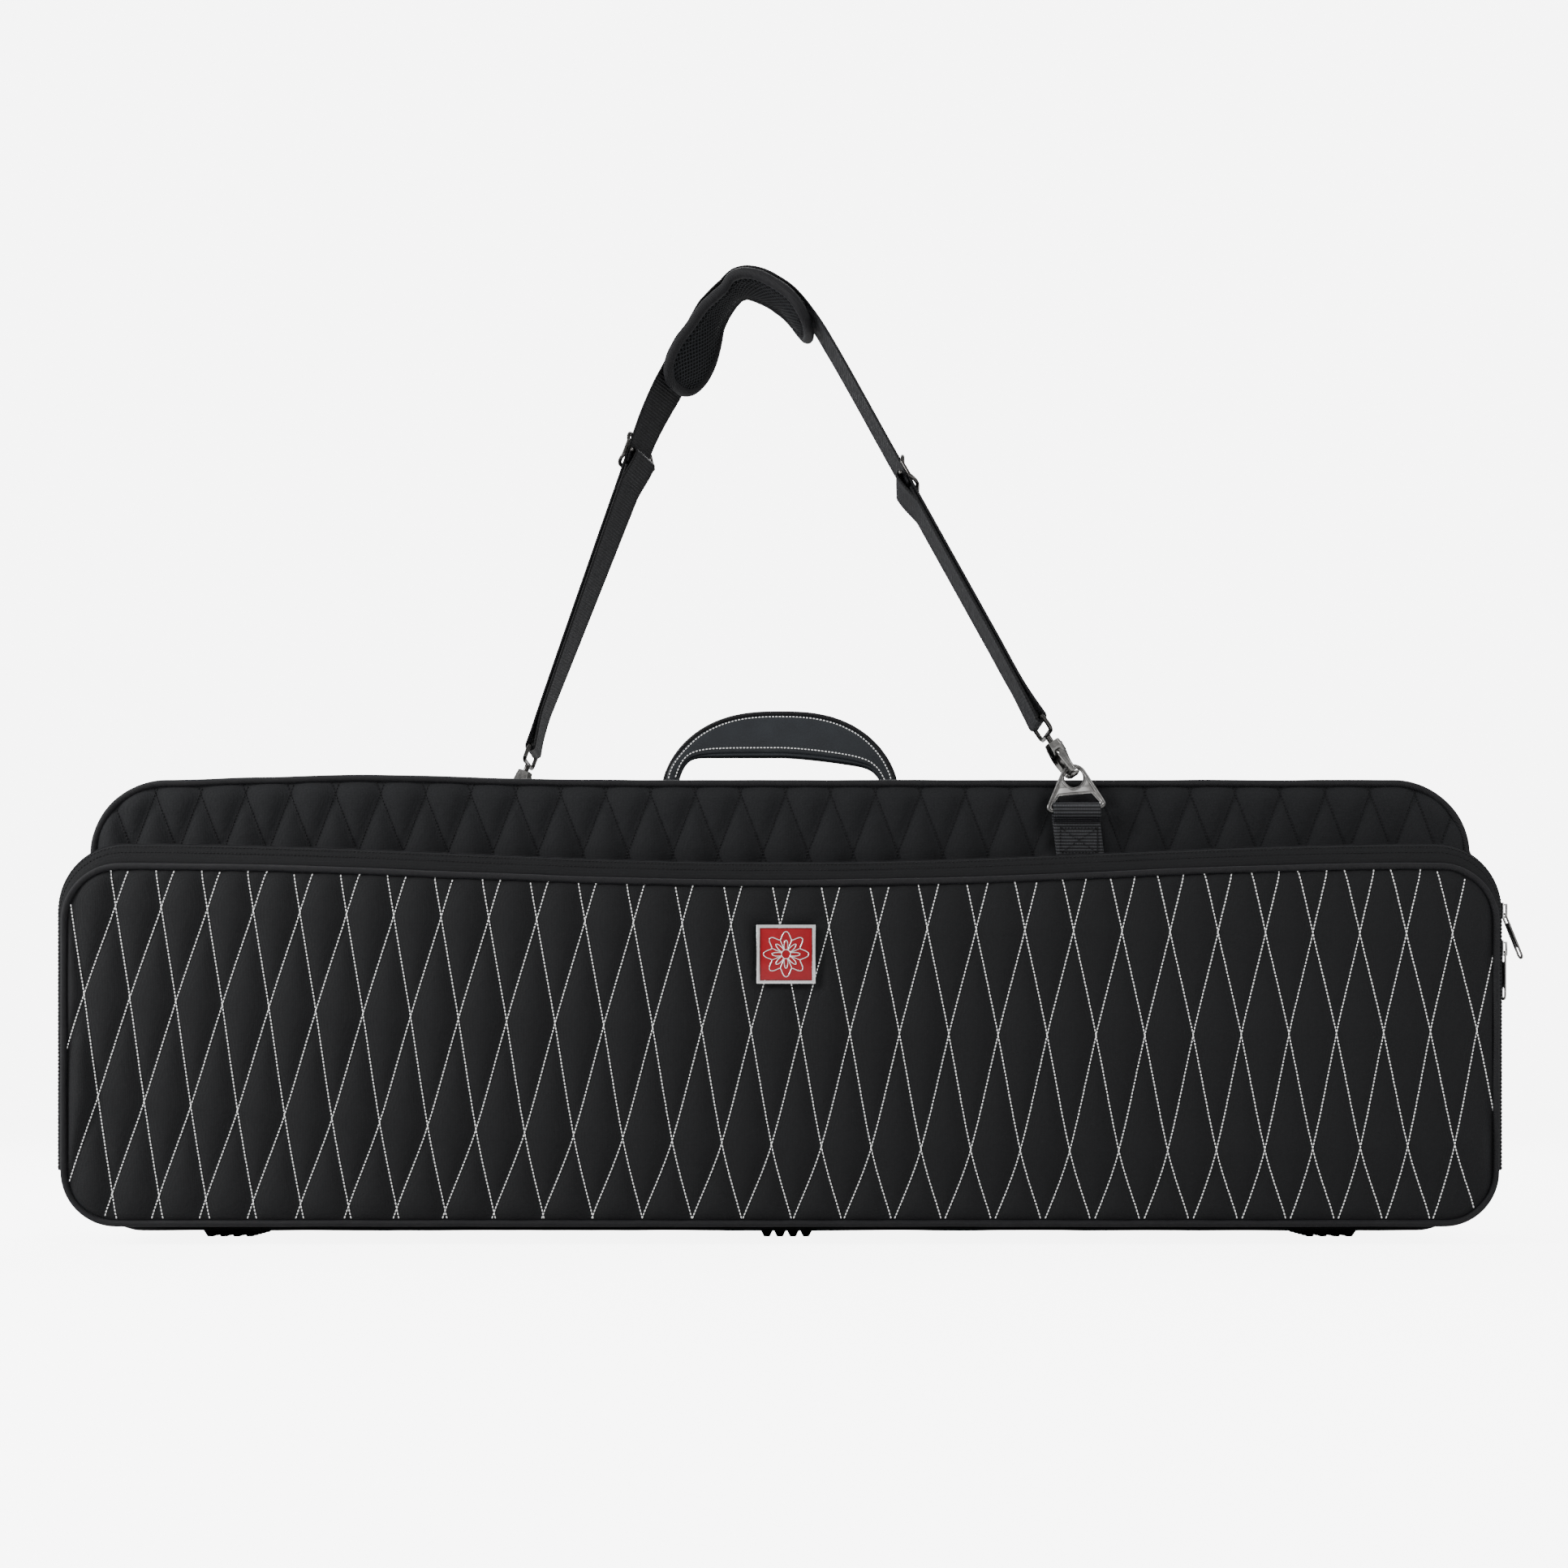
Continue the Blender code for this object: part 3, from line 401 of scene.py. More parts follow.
def resampled(rows, spacing):
    """Rows of values at an even spacing along the first three columns' path."""
    rows = np.asarray(rows, float)
    runs = distances(rows[:, :3])
    return sampled(np.linspace(0, runs[-1], round(runs[-1] / spacing) + 1), runs, rows)


def tangents(places, closed=False):
    if closed:
        return unit(np.roll(places, -1, 0) - np.roll(places, 1, 0))
    return unit(np.gradient(places, axis=0))


def ripples(places, size, seed=0.0):
    """Smooth noise from -1 to 1 at each place."""
    shift = Vector((seed, 2 * seed, -seed))
    return np.array([noise.noise(Vector(p) / size + shift) for p in places])


def corners_of(grid):
    """The four corners of every cell of a grid."""
    return grid[:-1, :-1], grid[:-1, 1:], grid[1:, 1:], grid[1:, :-1]


def loft(name, rings, closed=False, wrap=True):
    """A skin through rings of points. wrap joins each ring's ends, and closed joins the last ring to the
    first. Its UV map holds metres along the rings and metres round them."""
    rings = np.asarray(rings, float)
    rows, columns, _ = rings.shape
    index = np.arange(rows * columns).reshape(rows, columns)
    if wrap:
        index = np.hstack([index, index[:, :1]])
    if closed:
        index = np.vstack([index, index[:1]])
    middles, widest = rings.mean(1), rings[rows // 2]
    runs = distances(np.vstack([middles, middles[:1]]))[:index.shape[0]]
    rounds = distances(np.vstack([widest, widest[:1]]))[:index.shape[1]]
    faces = np.stack(corners_of(index), -1).reshape(-1, 4).tolist()
    uvs = np.stack(corners_of(np.stack(np.meshgrid(runs, rounds, indexing="ij"), -1)), 2).reshape(-1, 2)
    if wrap and not closed:
        faces += [index[0, :-1][::-1].tolist(), index[-1, :-1].tolist()]
        uvs = np.vstack([uvs, np.zeros((2 * columns, 2))])
    mesh = bpy.data.meshes.new(name)
    mesh.from_pydata(rings.reshape(-1, 3).tolist(), [], faces)
    mesh.uv_layers.new(name="run").data.foreach_set("uv", uvs.ravel())
    mesh.update()
    if wrap:
        bm = bmesh.new()
        bm.from_mesh(mesh)
        bmesh.ops.recalc_face_normals(bm, faces=bm.faces)
        bm.to_mesh(mesh)
        bm.free()
    return mesh


def tube(name, places, outward, radius, sides=10, closed=True, flat=1.0):
    """A round or oval cord along places. flat scales it across the outward direction."""
    across = np.cross(tangents(places, closed), outward)
    turns = np.linspace(0, 2 * math.pi, sides, endpoint=False)[:, None]
    radius = np.broadcast_to(radius, len(places))[:, None, None]
    spokes = np.cos(turns) * outward[:, None] + flat * np.sin(turns) * across[:, None]
    return loft(name, places[:, None] + radius * spokes, closed)


def joined(name, meshes):
    """One mesh from several."""
    bm = bmesh.new()
    for mesh in meshes:
        bm.from_mesh(mesh)
        bpy.data.meshes.remove(mesh)
    return made(bm, name)


def evenly(places, outward, period):
    """Places, outward directions and tangents at an even period along a run."""
    runs = distances(places)
    marks = np.arange(period / 2, runs[-1], period)
    at, out, along = (sampled(marks, runs, rows) for rows in (places, outward, tangents(places)))
    return at, unit(out), unit(along)


def grains(name, template, faces, at, out, along):
    """Copies of a small template shape, given as (along, across, outward), at many places."""
    axes = np.stack([along, np.cross(out, along), out], 1)
    verts = at[:, None] + np.einsum("vk,nkc->nvc", np.asarray(template, float), axes)
    shift = np.arange(len(at))[:, None, None] * len(template)
    all_faces = []
    for size in sorted({len(f) for f in faces}):
        some = np.array([f for f in faces if len(f) == size])
        all_faces += (some[None] + shift).reshape(-1, size).tolist()
    mesh = bpy.data.meshes.new(name)
    mesh.from_pydata(verts.reshape(-1, 3).tolist(), [], all_faces)
    mesh.update()
    return mesh


def dash_template(length, radius):
    """A stitch: a short cord whose ends dip into the cloth."""
    sides = 5
    template = [(-length / 2, 0, -radius)]
    for share, size in ((-0.33, 0.9), (0.0, 1.0), (0.33, 0.9)):
        thick, lift = size * radius, radius * (0.75 - 2.2 * share * share)
        for k in range(sides):
            turn = 2 * math.pi * k / sides
            template.append((share * length, thick * math.cos(turn), lift + thick * math.sin(turn)))
    template.append((length / 2, 0, -radius))
    last = len(template) - 1
    faces = []
    for k in range(sides):
        after = (k + 1) % sides
        faces += [(0, 1 + after, 1 + k), (last, last - sides + k, last - sides + after)]
        for a in (1, 1 + sides):
            faces.append((a + k, a + after, a + sides + after, a + sides + k))
    return template, faces


def stitches(name, runs, skin, body, sizes=STITCH):
    """Rows of real stitches. Each run is its places and the outward directions there, and sizes are a
    stitch's length, period and radius in metres."""
    length, period, radius = sizes
    parts = [evenly(np.asarray(places), np.asarray(outward), period) for places, outward in runs]
    at, out, along = (np.concatenate([part[k] for part in parts]) for k in range(3))
    template, faces = dash_template(length, radius)
    return piece(name, grains(name, template, faces, at, out, along), skin, body)


def surface_tree(obj):
    return BVHTree.FromObject(obj, bpy.context.evaluated_depsgraph_get())


def dropped(tree, places, direction, start=0.03):
    """Places moved along a direction onto a surface, with the surface's normals there."""
    way = Vector(direction)
    found, normals = [], []
    for place in places:
        hit, normal, _, _ = tree.ray_cast(Vector(place) - start * way, way, 2 * start)
        if hit is not None:
            found.append(hit)
            normals.append(-normal if normal.dot(way) > 0 else normal)
    return np.array(found), np.array(normals)


# ---- outlines

class Rim:
    """A rounded rectangle in the x-z plane in eight sections, anticlockwise from its bottom line."""

    def __init__(self, half, low, top, radius_low, radius_top, sag=0.0, crest=0.0):
        self.half, self.low, self.top = half, low, top
        self.radius_low, self.radius_top, self.sag, self.crest = radius_low, radius_top, sag, crest

    def top_sag(self, x):
        """How far the top edge hangs down in the middle, less a slack crest towards the left end."""
        reach = self.half - self.radius_top
        inside = np.clip(np.abs(x) / reach, 0, 1)
        ends = np.clip((reach - np.abs(x)) / (60 * MM), 0, 1)
        crest = self.crest * np.exp(-((x - CREST_CENTRE) / CREST_WIDTH) ** 2) * ends * ends * (3 - 2 * ends)
        return self.sag * np.cos(0.5 * math.pi * inside) ** 2 - crest

    def corner_rise(self, x, radius, inset):
        past = np.clip(np.abs(x) - (self.half - radius), 0, radius - inset)
        return (radius - inset) - np.sqrt(np.maximum((radius - inset) ** 2 - past ** 2, 0))

    def low_at(self, x, inset):
        return self.low + inset + self.corner_rise(x, self.radius_low, inset)

    def top_at(self, x, inset):
        return self.top - inset - self.top_sag(x) - self.corner_rise(x, self.radius_top, inset)

    def gaps(self, x, z, inset):
        """How far a place is inside the nearer side, the top and the bottom."""
        return self.half - inset - np.abs(x), self.top_at(x, inset) - z, z - self.low_at(x, inset)

    def section(self, number, inset, count):
        """count + 1 places along a section, with the outward direction at each."""
        share = np.linspace(0, 1, count + 1)[:, None]
        right, upper = self.half - self.radius_low, self.half - self.radius_top
        low_z, top_z = self.low + self.radius_low, self.top - self.radius_top
        side = self.half - inset
        arcs = {1: (right, low_z, self.radius_low, -90), 3: (upper, top_z, self.radius_top, 0),
                5: (-upper, top_z, self.radius_top, 90), 7: (-right, low_z, self.radius_low, 180)}
        if number in arcs:
            x, z, radius, start = arcs[number]
            turn = np.radians(start + 90 * share)
            normal = np.hstack([np.cos(turn), np.sin(turn)])
            return np.array([x, z]) + (radius - inset) * normal, normal
        start, end, normal = {
            0: ((-right, self.low + inset), (right, self.low + inset), (0, -1)),
            2: ((side, low_z), (side, top_z), (1, 0)),
            4: ((upper, self.top - inset), (-upper, self.top - inset), (0, 1)),
            6: ((-side, top_z), (-side, low_z), (-1, 0))}[number]
        places = np.array(start) + share * (np.array(end) - np.array(start))
        if number == 4:
            places[:, 1] -= self.top_sag(places[:, 0])
        return places, np.tile(np.array(normal, float), (count + 1, 1))

    def counts(self, sections, spacing):
        lengths = [distances(self.section(number, 0, 16)[0])[-1] for number in sections]
        return [max(2, round(length / spacing)) for length in lengths]

    def run(self, sections, inset, y, counts, closed=False):
        """Places and outward directions in space along sections at one depth."""
        parts = [self.section(number, inset, count) for number, count in zip(sections, counts)]
        last = -1 if closed else None
        flat = [np.concatenate([part[k][min(i, 1):] for i, part in enumerate(parts)])[:last] for k in (0, 1)]
        return [np.insert(rows, 1, depth, axis=1) for rows, depth in zip(flat, (y, 0))]


ALL = range(8)
UPPER = (2, 3, 4, 5, 6)
LOWER = (7, 0, 1)

shell_low, shell_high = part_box("back_piping")
pocket_low, pocket_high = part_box("pocket_piping")
ring_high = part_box("pocket_rear_gusset")[1]
SHELL = Rim(shell_high.x, shell_low.z, shell_high.z, 0.042, 0.060, 0.0, 0.004)
POCKET = Rim(pocket_high.x, pocket_low.z, pocket_high.z, 0.042, 0.045, 0.013)
RING = Rim(ring_high.x + 0.001, pocket_low.z - 0.003, ring_high.z + 0.001, 0.046, 0.052, 0.014)


# ---- quilted panels

class Lattice:
    """Two families of stitched lines that cross in rows. Row heights are given at the left end, the middle
    and the right end, and shift is how far the crossings move sideways from one row to the next, at the same
    three places. spread moves the lines apart in the middle and together at the ends."""

    def __init__(self, rows, shift, start, spread=0.0):
        self.rows, self.shift, self.start, self.spread = np.array(rows, float), shift, start, spread

    @staticmethod
    def across(left, middle, right, x):
        """A smooth value through three given at x = -0.5, 0 and 0.5."""
        u = 2 * x
        return middle + 0.5 * (right - left) * u + (0.5 * (right + left) - middle) * u * u

    @staticmethod
    def hermite(t, a, b, slope_a, slope_b):
        return ((2 * t ** 3 - 3 * t ** 2 + 1) * a + (t ** 3 - 2 * t ** 2 + t) * slope_a
                + (3 * t ** 2 - 2 * t ** 3) * b + (t ** 3 - t ** 2) * slope_b)

    def depth(self, x, z):
        """How many rows down a place is, as a smooth number."""
        x, z = np.broadcast_arrays(np.asarray(x, float), np.asarray(z, float))
        heights = np.stack([self.across(*row, x) for row in self.rows])
        heights = np.concatenate([[2 * heights[0] - heights[1]], heights, [2 * heights[-1] - heights[-2]]])
        slopes = np.gradient(heights, axis=0)
        depth = np.where(z > heights[0], -1 + (heights[0] - z) / (heights[0] - heights[1]), 0.0)
        below = len(heights) - 2 + (heights[-1] - z) / (heights[-2] - heights[-1])
        depth = np.where(z <= heights[-1], below, depth)
        for k in range(len(heights) - 1):
            gap = heights[k] - heights[k + 1]
            share = (heights[k] - z) / gap
            for _ in range(4):
                h = self.hermite(share, heights[k], heights[k + 1], slopes[k], slopes[k + 1])
                share = np.clip(share + (h - z) / gap, 0, 1)
            depth = np.where((z <= heights[k]) & (z > heights[k + 1]), k - 1 + share, depth)
        return depth

    def phases(self, x, z):
        """Two numbers that are whole along the lines of each family."""
        depth = self.depth(x, z)
        shift = self.across(*self.shift, x)
        wave = np.sin(2 * math.pi * (x - SPREAD_CENTRE) / SPREAD_WAVE)
        base = x - self.start - self.spread * wave
        return (base - depth * shift) / PITCH, (base + depth * (PITCH - shift)) / PITCH


POCKET_LATTICE = Lattice(
    ((0.257, 0.242, 0.236), (0.188, 0.162, 0.162), (0.111, 0.076, 0.076), (0.039, 0.018, 0.016)),
    (0.0110, 0.0147, 0.0184), 0.0022, 10.5 * MM)
SHELL_LATTICE = Lattice([(0.352 - 0.047 * k,) * 3 for k in range(8)], (PITCH / 2,) * 3, 0.004)


class Quilt:
    """A quilted sheet inside a rim, with its outer face at y. facing is -1 for one seen from the front."""

    def __init__(self, name, rim, inset, y, facing, lattice, puff, cell_x, cell_z, pressed):
        self.name, self.rim, self.inset, self.y, self.pressed = name, rim, inset, y, pressed
        self.facing, self.lattice, self.puff = facing, lattice, puff
        corner = max(rim.radius_low, rim.radius_top) - inset
        straight = rim.half - inset - corner
        inner = np.linspace(-straight, straight, 2 * round(straight / cell_x) + 1)
        turns = np.radians(np.linspace(0, 90, round(1.5 * corner / cell_x) + 1))[1:]
        outer = straight + corner * np.sin(turns)
        self.columns = np.concatenate([-outer[::-1], inner, outer])
        self.shares = np.linspace(0, 1, round((rim.top - rim.low) / cell_z) + 1)
        self.x = np.repeat(self.columns[:, None], len(self.shares), 1)
        self.pinned = np.zeros(self.x.shape, bool)
        self.pinned[[0, -1]] = self.pinned[:, [0, -1]] = True
        for j, share in enumerate(self.shares):
            self.snap(j, share)
        self.z = self.height_at(self.x, self.shares[None])

    def height_at(self, x, share):
        low = self.rim.low_at(x, self.inset)
        return low + share * (self.rim.top_at(x, self.inset) - low)

    def snap(self, j, share):
        """Moves one row's nearest grid points onto the stitched lines."""
        z = self.height_at(self.columns, share)
        between = 0 < j < len(self.shares) - 1
        for phase in self.lattice.phases(self.columns, z):
            whole = np.arange(math.ceil(phase[0]), math.floor(phase[-1]) + 1)
            for x in np.interp(whole, phase, self.columns):
                i = int(np.argmin(np.abs(self.columns - x)))
                if 0 < i < len(self.columns) - 1:
                    self.x[i, j] = 0.5 * (x + self.x[i, j]) if self.pinned[i, j] and between else x
                    self.pinned[i, j] = True

    def free_share(self):
        """1 where the padding is free to swell, falling to 0 under the nodes that press on it."""
        share = np.ones(self.x.shape)
        for node in self.pressed:
            low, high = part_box(node)
            away = np.max([low.x - self.x, self.x - high.x, low.z - self.z, self.z - high.z], axis=0)
            share *= np.clip(away / PRESS_REACH, 0.0, 1.0) ** 0.7
        return share

    def build(self):
        first, second = (np.abs(p - np.round(p)) * PITCH * 0.95 for p in self.lattice.phases(self.x, self.z))
        edge = np.min(self.rim.gaps(self.x, self.z, self.inset), axis=0)
        rise = np.tanh(first / SEAM_REACH) * np.tanh(second / SEAM_REACH) * np.tanh(edge / SEAM_REACH) ** 0.5
        self.rest = self.y - self.facing * EDGE_TUCK * np.exp(-edge / (3 * MM))
        self.free = self.free_share()
        height = 0.3 * MM * rise
        mesh = loft(self.name, np.stack([self.x, self.rest + self.facing * height, self.z], -1), wrap=False)
        if self.facing < 0:
            mesh.flip_normals()
        self.obj = placed(self.name, mesh)
        pins = self.obj.vertex_groups.new(name="stitched")
        pins.add(np.flatnonzero(self.pinned.ravel()).tolist(), 1.0, "REPLACE")

    def settle(self):
        """Takes the simulated heights, holds them to the limit, and leaves a plain mesh."""
        swollen = self.obj.evaluated_get(bpy.context.evaluated_depsgraph_get()).to_mesh()
        moved = np.zeros(len(swollen.vertices) * 3)
        swollen.vertices.foreach_get("co", moved)
        moved = moved.reshape(*self.x.shape, 3)
        rise = np.clip(self.facing * (moved[..., 1] - self.rest), 0, None)
        rise = PUFF_LIMIT * np.tanh(rise / PUFF_LIMIT)
        scale = self.puff / max(np.percentile(rise, 97), 0.1 * MM)
        moved[..., 1] = self.rest + self.facing * rise * scale * self.free
        self.obj.modifiers.clear()
        self.obj.data.vertices.foreach_set("co", moved.ravel())
        self.obj.data.update()

    def finish(self, skin, body, replaces, thread_skin):
        self.obj.data.materials.append(skin)
        self.obj.data.shade_smooth()
        softened(self.obj)
        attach(self.obj, body)
        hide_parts(replaces)
        runs = self.lines(surface_tree(self.obj))
        changed(self.obj, "SOLIDIFY", thickness=1.2 * MM, offset=-1)
        stitches(self.name.replace("quilting", "stitching"), runs, thread_skin, body)

    def lines(self, tree):
        """The stitched lines, dropped onto the finished surface."""
        reach = np.linspace(-self.rim.half + self.inset, self.rim.half - self.inset, 700)
        found = {}
        for z in np.arange(self.rim.low, self.rim.top, 2 * MM):
            _, top, low = self.rim.gaps(reach, z, self.inset)
            x = reach[np.minimum(top, low) > SEAM_MARGIN]
            if len(x) < 2:
                continue
            for family, phase in enumerate(self.lattice.phases(x, z)):
                for whole in range(math.ceil(phase[0]), math.floor(phase[-1]) + 1):
                    place = (np.interp(whole, phase, x), self.y, z)
                    found.setdefault((family, whole), []).append(place)
        runs = [dropped(tree, places, (0, -self.facing, 0)) for places in found.values() if len(places) > 3]
        return [run for run in runs if len(run[0]) > SHORTEST_SEAM]


def inflate(quilts):
    """One cloth simulation for all the quilted sheets: pressure swells them between the stitched lines."""
    for quilt in quilts:
        cloth = quilt.obj.modifiers.new("cloth", "CLOTH")
        settings = cloth.settings
        settings.vertex_group_mass = "stitched"
        settings.use_pressure = True
        settings.uniform_pressure_force = SIM_PRESSURE
        settings.effector_weights.gravity = 0
        settings.quality = 5
        cloth.point_cache.frame_start = 1
        cloth.point_cache.frame_end = SIM_FRAMES
    scene = bpy.context.scene
    for number in range(1, SIM_FRAMES + 1):
        scene.frame_set(number)
    for quilt in quilts:
        quilt.settle()
    scene.frame_set(1)


def quilted_panels():
    front, lid_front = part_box("pocket_panel")[0].y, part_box("front_panel")[0].y
    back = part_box("back_panel")[1].y
    pocket = Quilt("pocket_quilting", POCKET, 3.6 * MM, front + 2.4 * MM, -1, POCKET_LATTICE, 5.0 * MM,
                   3.6 * MM, 4 * MM, ["badge_frame"])
    cells = (SHELL_LATTICE, 4.6 * MM, 4.4 * MM, 5 * MM)
    lid = Quilt("lid_quilting", SHELL, 3.4 * MM, lid_front + 2.2 * MM, -1, *cells, ["front_ring_tab"])
    rear = Quilt("back_quilting", SHELL, 3.4 * MM, back - 2.2 * MM, 1, *cells, ["rear_ring_tab"])
    for sheet in (pocket, lid, rear):
        sheet.build()
    inflate((pocket, lid, rear))
    pocket.finish(POCKET_CLOTH, "pocket_flap", "pocket_panel", WHITE_THREAD)
    lid.finish(CLOTH, "lid", "front_panel", BLACK_THREAD)
    rear.finish(CLOTH, "case", "back_panel", BLACK_THREAD)


# ---- bound edges, walls and zips

def cord(name, node, rim, radius, body, waver):
    """The corded edge round a rim, a little uneven as sewn cord is."""
    places, outward = rim.run(ALL, radius, 0.5 * sum(span(node)), rim.counts(ALL, CORD_STEP), True)
    uneven = waver * ripples(places, 60 * MM, 3)[:, None] * outward
    places = places + uneven + 0.3 * waver * ripples(places, 35 * MM, 7)[:, None] * DEPTH
    thick = radius * (1 + 0.05 * ripples(places, 22 * MM, 5))
    piece(name, tube(name, places, outward, thick), BINDING, body, [node])


def cords():
    cord("back_cord", "back_piping", SHELL, 2.7 * MM, "case", 0.3 * MM)
    cord("lid_cord", "front_piping", SHELL, 2.9 * MM, "lid", 0.5 * MM)
    cord("pocket_cord", "pocket_piping", POCKET, 2.5 * MM, "pocket_flap", 0.3 * MM)


def wall_shape(thick, crown, steps=8):
    """Across a wall, as (share, height) round a closed section: a crowned face, then a flat inner face."""
    shares = np.linspace(0, 1, steps + 1)
    face = [(s, crown * (1 - (2 * s - 1) ** 4) - MM * ((2 * s - 1) ** 8)) for s in shares]
    return face + [(1.0, -thick), (0.66, -thick), (0.33, -thick), (0.0, -thick)]


def wall(name, first, second, sections, shape, skin, body, replaces, wrinkle):
    """A padded wall between two rims. first and second are (rim, inset of its outer face, depth)."""
    counts = first[0].counts(sections, WALL_STEP)
    a, outward = first[0].run(sections, *first[1:], counts)
    b, _ = second[0].run(sections, *second[1:], counts)
    across = b - a
    out = unit(np.cross(tangents(a), across))
    out *= np.sign((out * outward).sum(1, keepdims=True))
    bumps = wrinkle * ripples(a, 30 * MM, 11)
    rings = []
    for share, height in shape:
        lift = height + bumps * (4 * share * (1 - share) if height > -0.5 * MM else 0)
        rings.append(a + share * across + lift[:, None] * out)
    piece(name, loft(name, np.stack(rings, 1)), skin, body, replaces)
    return a, b, out, shape


def rows_on(side, offsets):
    """Stitch rows along a wall at shares of its width."""
    a, b, out, shape = side
    face = [place for place in shape if place[1] > -0.9 * MM]
    return [(a + share * (b - a) + np.interp(share, *zip(*face)) * out, out) for share in offsets]


def tooth_template():
    """One coil of the zip: a rounded bar across the tape, with a wider head."""
    long, wide, high = 1.5 * MM, 0.42 * MM, 0.75 * MM
    template = []
    for across, size in ((-1.0, 0.75), (0.5, 0.85), (1.0, 1.25)):
        for along, up in ((-1, -0.4), (1, -0.4), (0.7, 0.6), (-0.7, 0.6)):
            template.append((along * wide * size, across * long, up * high * size))
    faces = [(0, 3, 2, 1), (8, 9, 10, 11)]
    for row in (0, 4):
        for k in range(4):
            after = (k + 1) % 4
            faces.append((row + k, row + after, row + 4 + after, row + 4 + k))
    return template, faces


def zip_half(name, rim, zip_y, side, body):
    """One side of a zip: its woven tape and its row of teeth. side is -1 for the front half."""
    places, outward = rim.run(UPPER, 1.6 * MM, zip_y, rim.counts(UPPER, CORD_STEP))
    section = ((1.3, -0.15), (1.5, 0.25), (3.6, 0.45), (6.6, 0.2), (6.6, -0.35), (3.6, -0.3), (1.5, -0.45))
    rings = np.stack([places + across * side * MM * DEPTH + up * MM * outward for across, up in section], 1)
    piece(name + "_tape", loft(name, rings), TAPE, body, [name])
    at, out, along = evenly(places, outward, TOOTH_PITCH)
    at = at + 0.25 * TOOTH_PITCH * side * along + 0.9 * MM * side * DEPTH + 0.25 * MM * out
    teeth = grains(name + "_teeth", *tooth_template(), at, out, along * -side)
    piece(name + "_teeth", teeth, COIL, body)


def span(node):
    """A node's nearest and furthest depth."""
    low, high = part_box(node)
    return low.y, high.y


def body_walls():
    face = 1.2 * MM
    front_edge, back_edge = span("front_panel")[1] + 0.4 * MM, span("back_panel")[0] - 0.4 * MM
    to_back = (SHELL, face, back_edge + 1.5 * MM)
    rear_start, rear_end = span("pocket_rear_gusset")
    front_start, front_end = span("pocket_front_gusset")
    base_start, base_end = span("pocket_bottom")
    thin = wall_shape(2.6 * MM, 0.7 * MM)
    lid_side = wall(
        "lid_side", (SHELL, face, front_edge - 2.5 * MM), (SHELL, face, span("lid_gusset")[1]), UPPER,
        wall_shape(4.6 * MM, 1.2 * MM), CLOTH, "lid", ["lid_gusset"], 0.3 * MM)
    case_side = wall(
        "case_side", (SHELL, face, span("gusset_top")[0]), to_back, UPPER, wall_shape(4.6 * MM, 2.2 * MM, 12),
        CLOTH, "case", ["gusset_top", "gusset_left", "gusset_right"], 1.2 * MM)
    wall(
        "case_underside", (SHELL, face, front_edge - 1.0 * MM), to_back, LOWER,
        wall_shape(4.6 * MM, 1.0 * MM, 12), CLOTH, "case", ["gusset_bottom"], 0.5 * MM)
    rear_side = wall(
        "pocket_rear_side", (RING, face, rear_start), (RING, face + 6 * MM, rear_end + 2 * MM), UPPER,
        thin, POCKET_CLOTH, "lid", ["pocket_rear_gusset"], 0.3 * MM)
    front_side = wall(
        "pocket_front_side", (POCKET, face, front_start - 1.5 * MM), (RING, face, front_end), UPPER,
        wall_shape(2.0 * MM, 0.6 * MM), POCKET_CLOTH, "pocket_flap", ["pocket_front_gusset"], 0.3 * MM)
    wall(
        "pocket_underside", (POCKET, face, base_start), (RING, face, base_end), LOWER,
        thin, POCKET_CLOTH, "lid", ["pocket_bottom"], 0.3 * MM)
    for name, side, offsets, body in (
            ("spacing", lid_side, (0.80,), "lid"), ("case", case_side, (0.045, 0.09), "case"),
            ("pocket_rear", rear_side, (0.08, 0.16), "lid"),
            ("pocket_front", front_side, (0.82, 0.55), "pocket_flap")):
        sizes = (2.0 * MM, 2.8 * MM, 0.35 * MM)
        stitches(name + "_seam_stitching", rows_on(side, offsets), BLACK_THREAD, body, sizes)


def zips():
    for rim, rear, rear_body, front, front_body in (
            (SHELL, "case_zip", "case", "lid_zip", "lid"),
            (RING, "pocket_rear_zip", "lid", "pocket_front_zip", "pocket_flap")):
        middle = 0.5 * (span(rear)[0] + span(front)[1])
        zip_half(rear, rim, middle, 1, rear_body)
        zip_half(front, rim, middle, -1, front_body)


# ---- metal, rubber and the other carried-over nodes

def dressed(skin, slot, bevel, *nodes):
    """CAD nodes kept as they are, with rounded edges and their own material."""
    for node in nodes:
        obj = frame["nodes"][node]
        obj.data.materials.clear()
        obj.data.materials.append(skin)
        bevelled(changed(obj, "WELD", merge_threshold=0.01 * MM), bevel)
        obj.data.shade_smooth()


def fittings():
    runs = ("main_upper", "main_lower", "pocket_upper", "pocket_lower")
    dressed(BRIGHT, "gunmetal", 0.28 * MM, *[run + "_slider" for run in runs])
    dressed(GUNMETAL, "gunmetal", 0.32 * MM, *[run + "_puller" for run in runs])
    dressed(NICKEL, "gunmetal", 0.4 * MM, "front_eye", "rear_eye")
    dressed(RUBBER, "rubber", 0.35 * MM, "foot_left", "foot_middle", "foot_right")
    dressed(WEBBING, "webbing", 0.5 * MM, "handle_anchor_left", "handle_anchor_right")
    dressed(SILVER, "silver_edge", 0.35 * MM, "badge_frame")
    dressed(ENAMEL, "enamel", 0.3 * MM, "badge_inlay")
    dressed(BINDING, "bound_edge", 0.5 * MM, "base_board")


# ---- webbing and strap

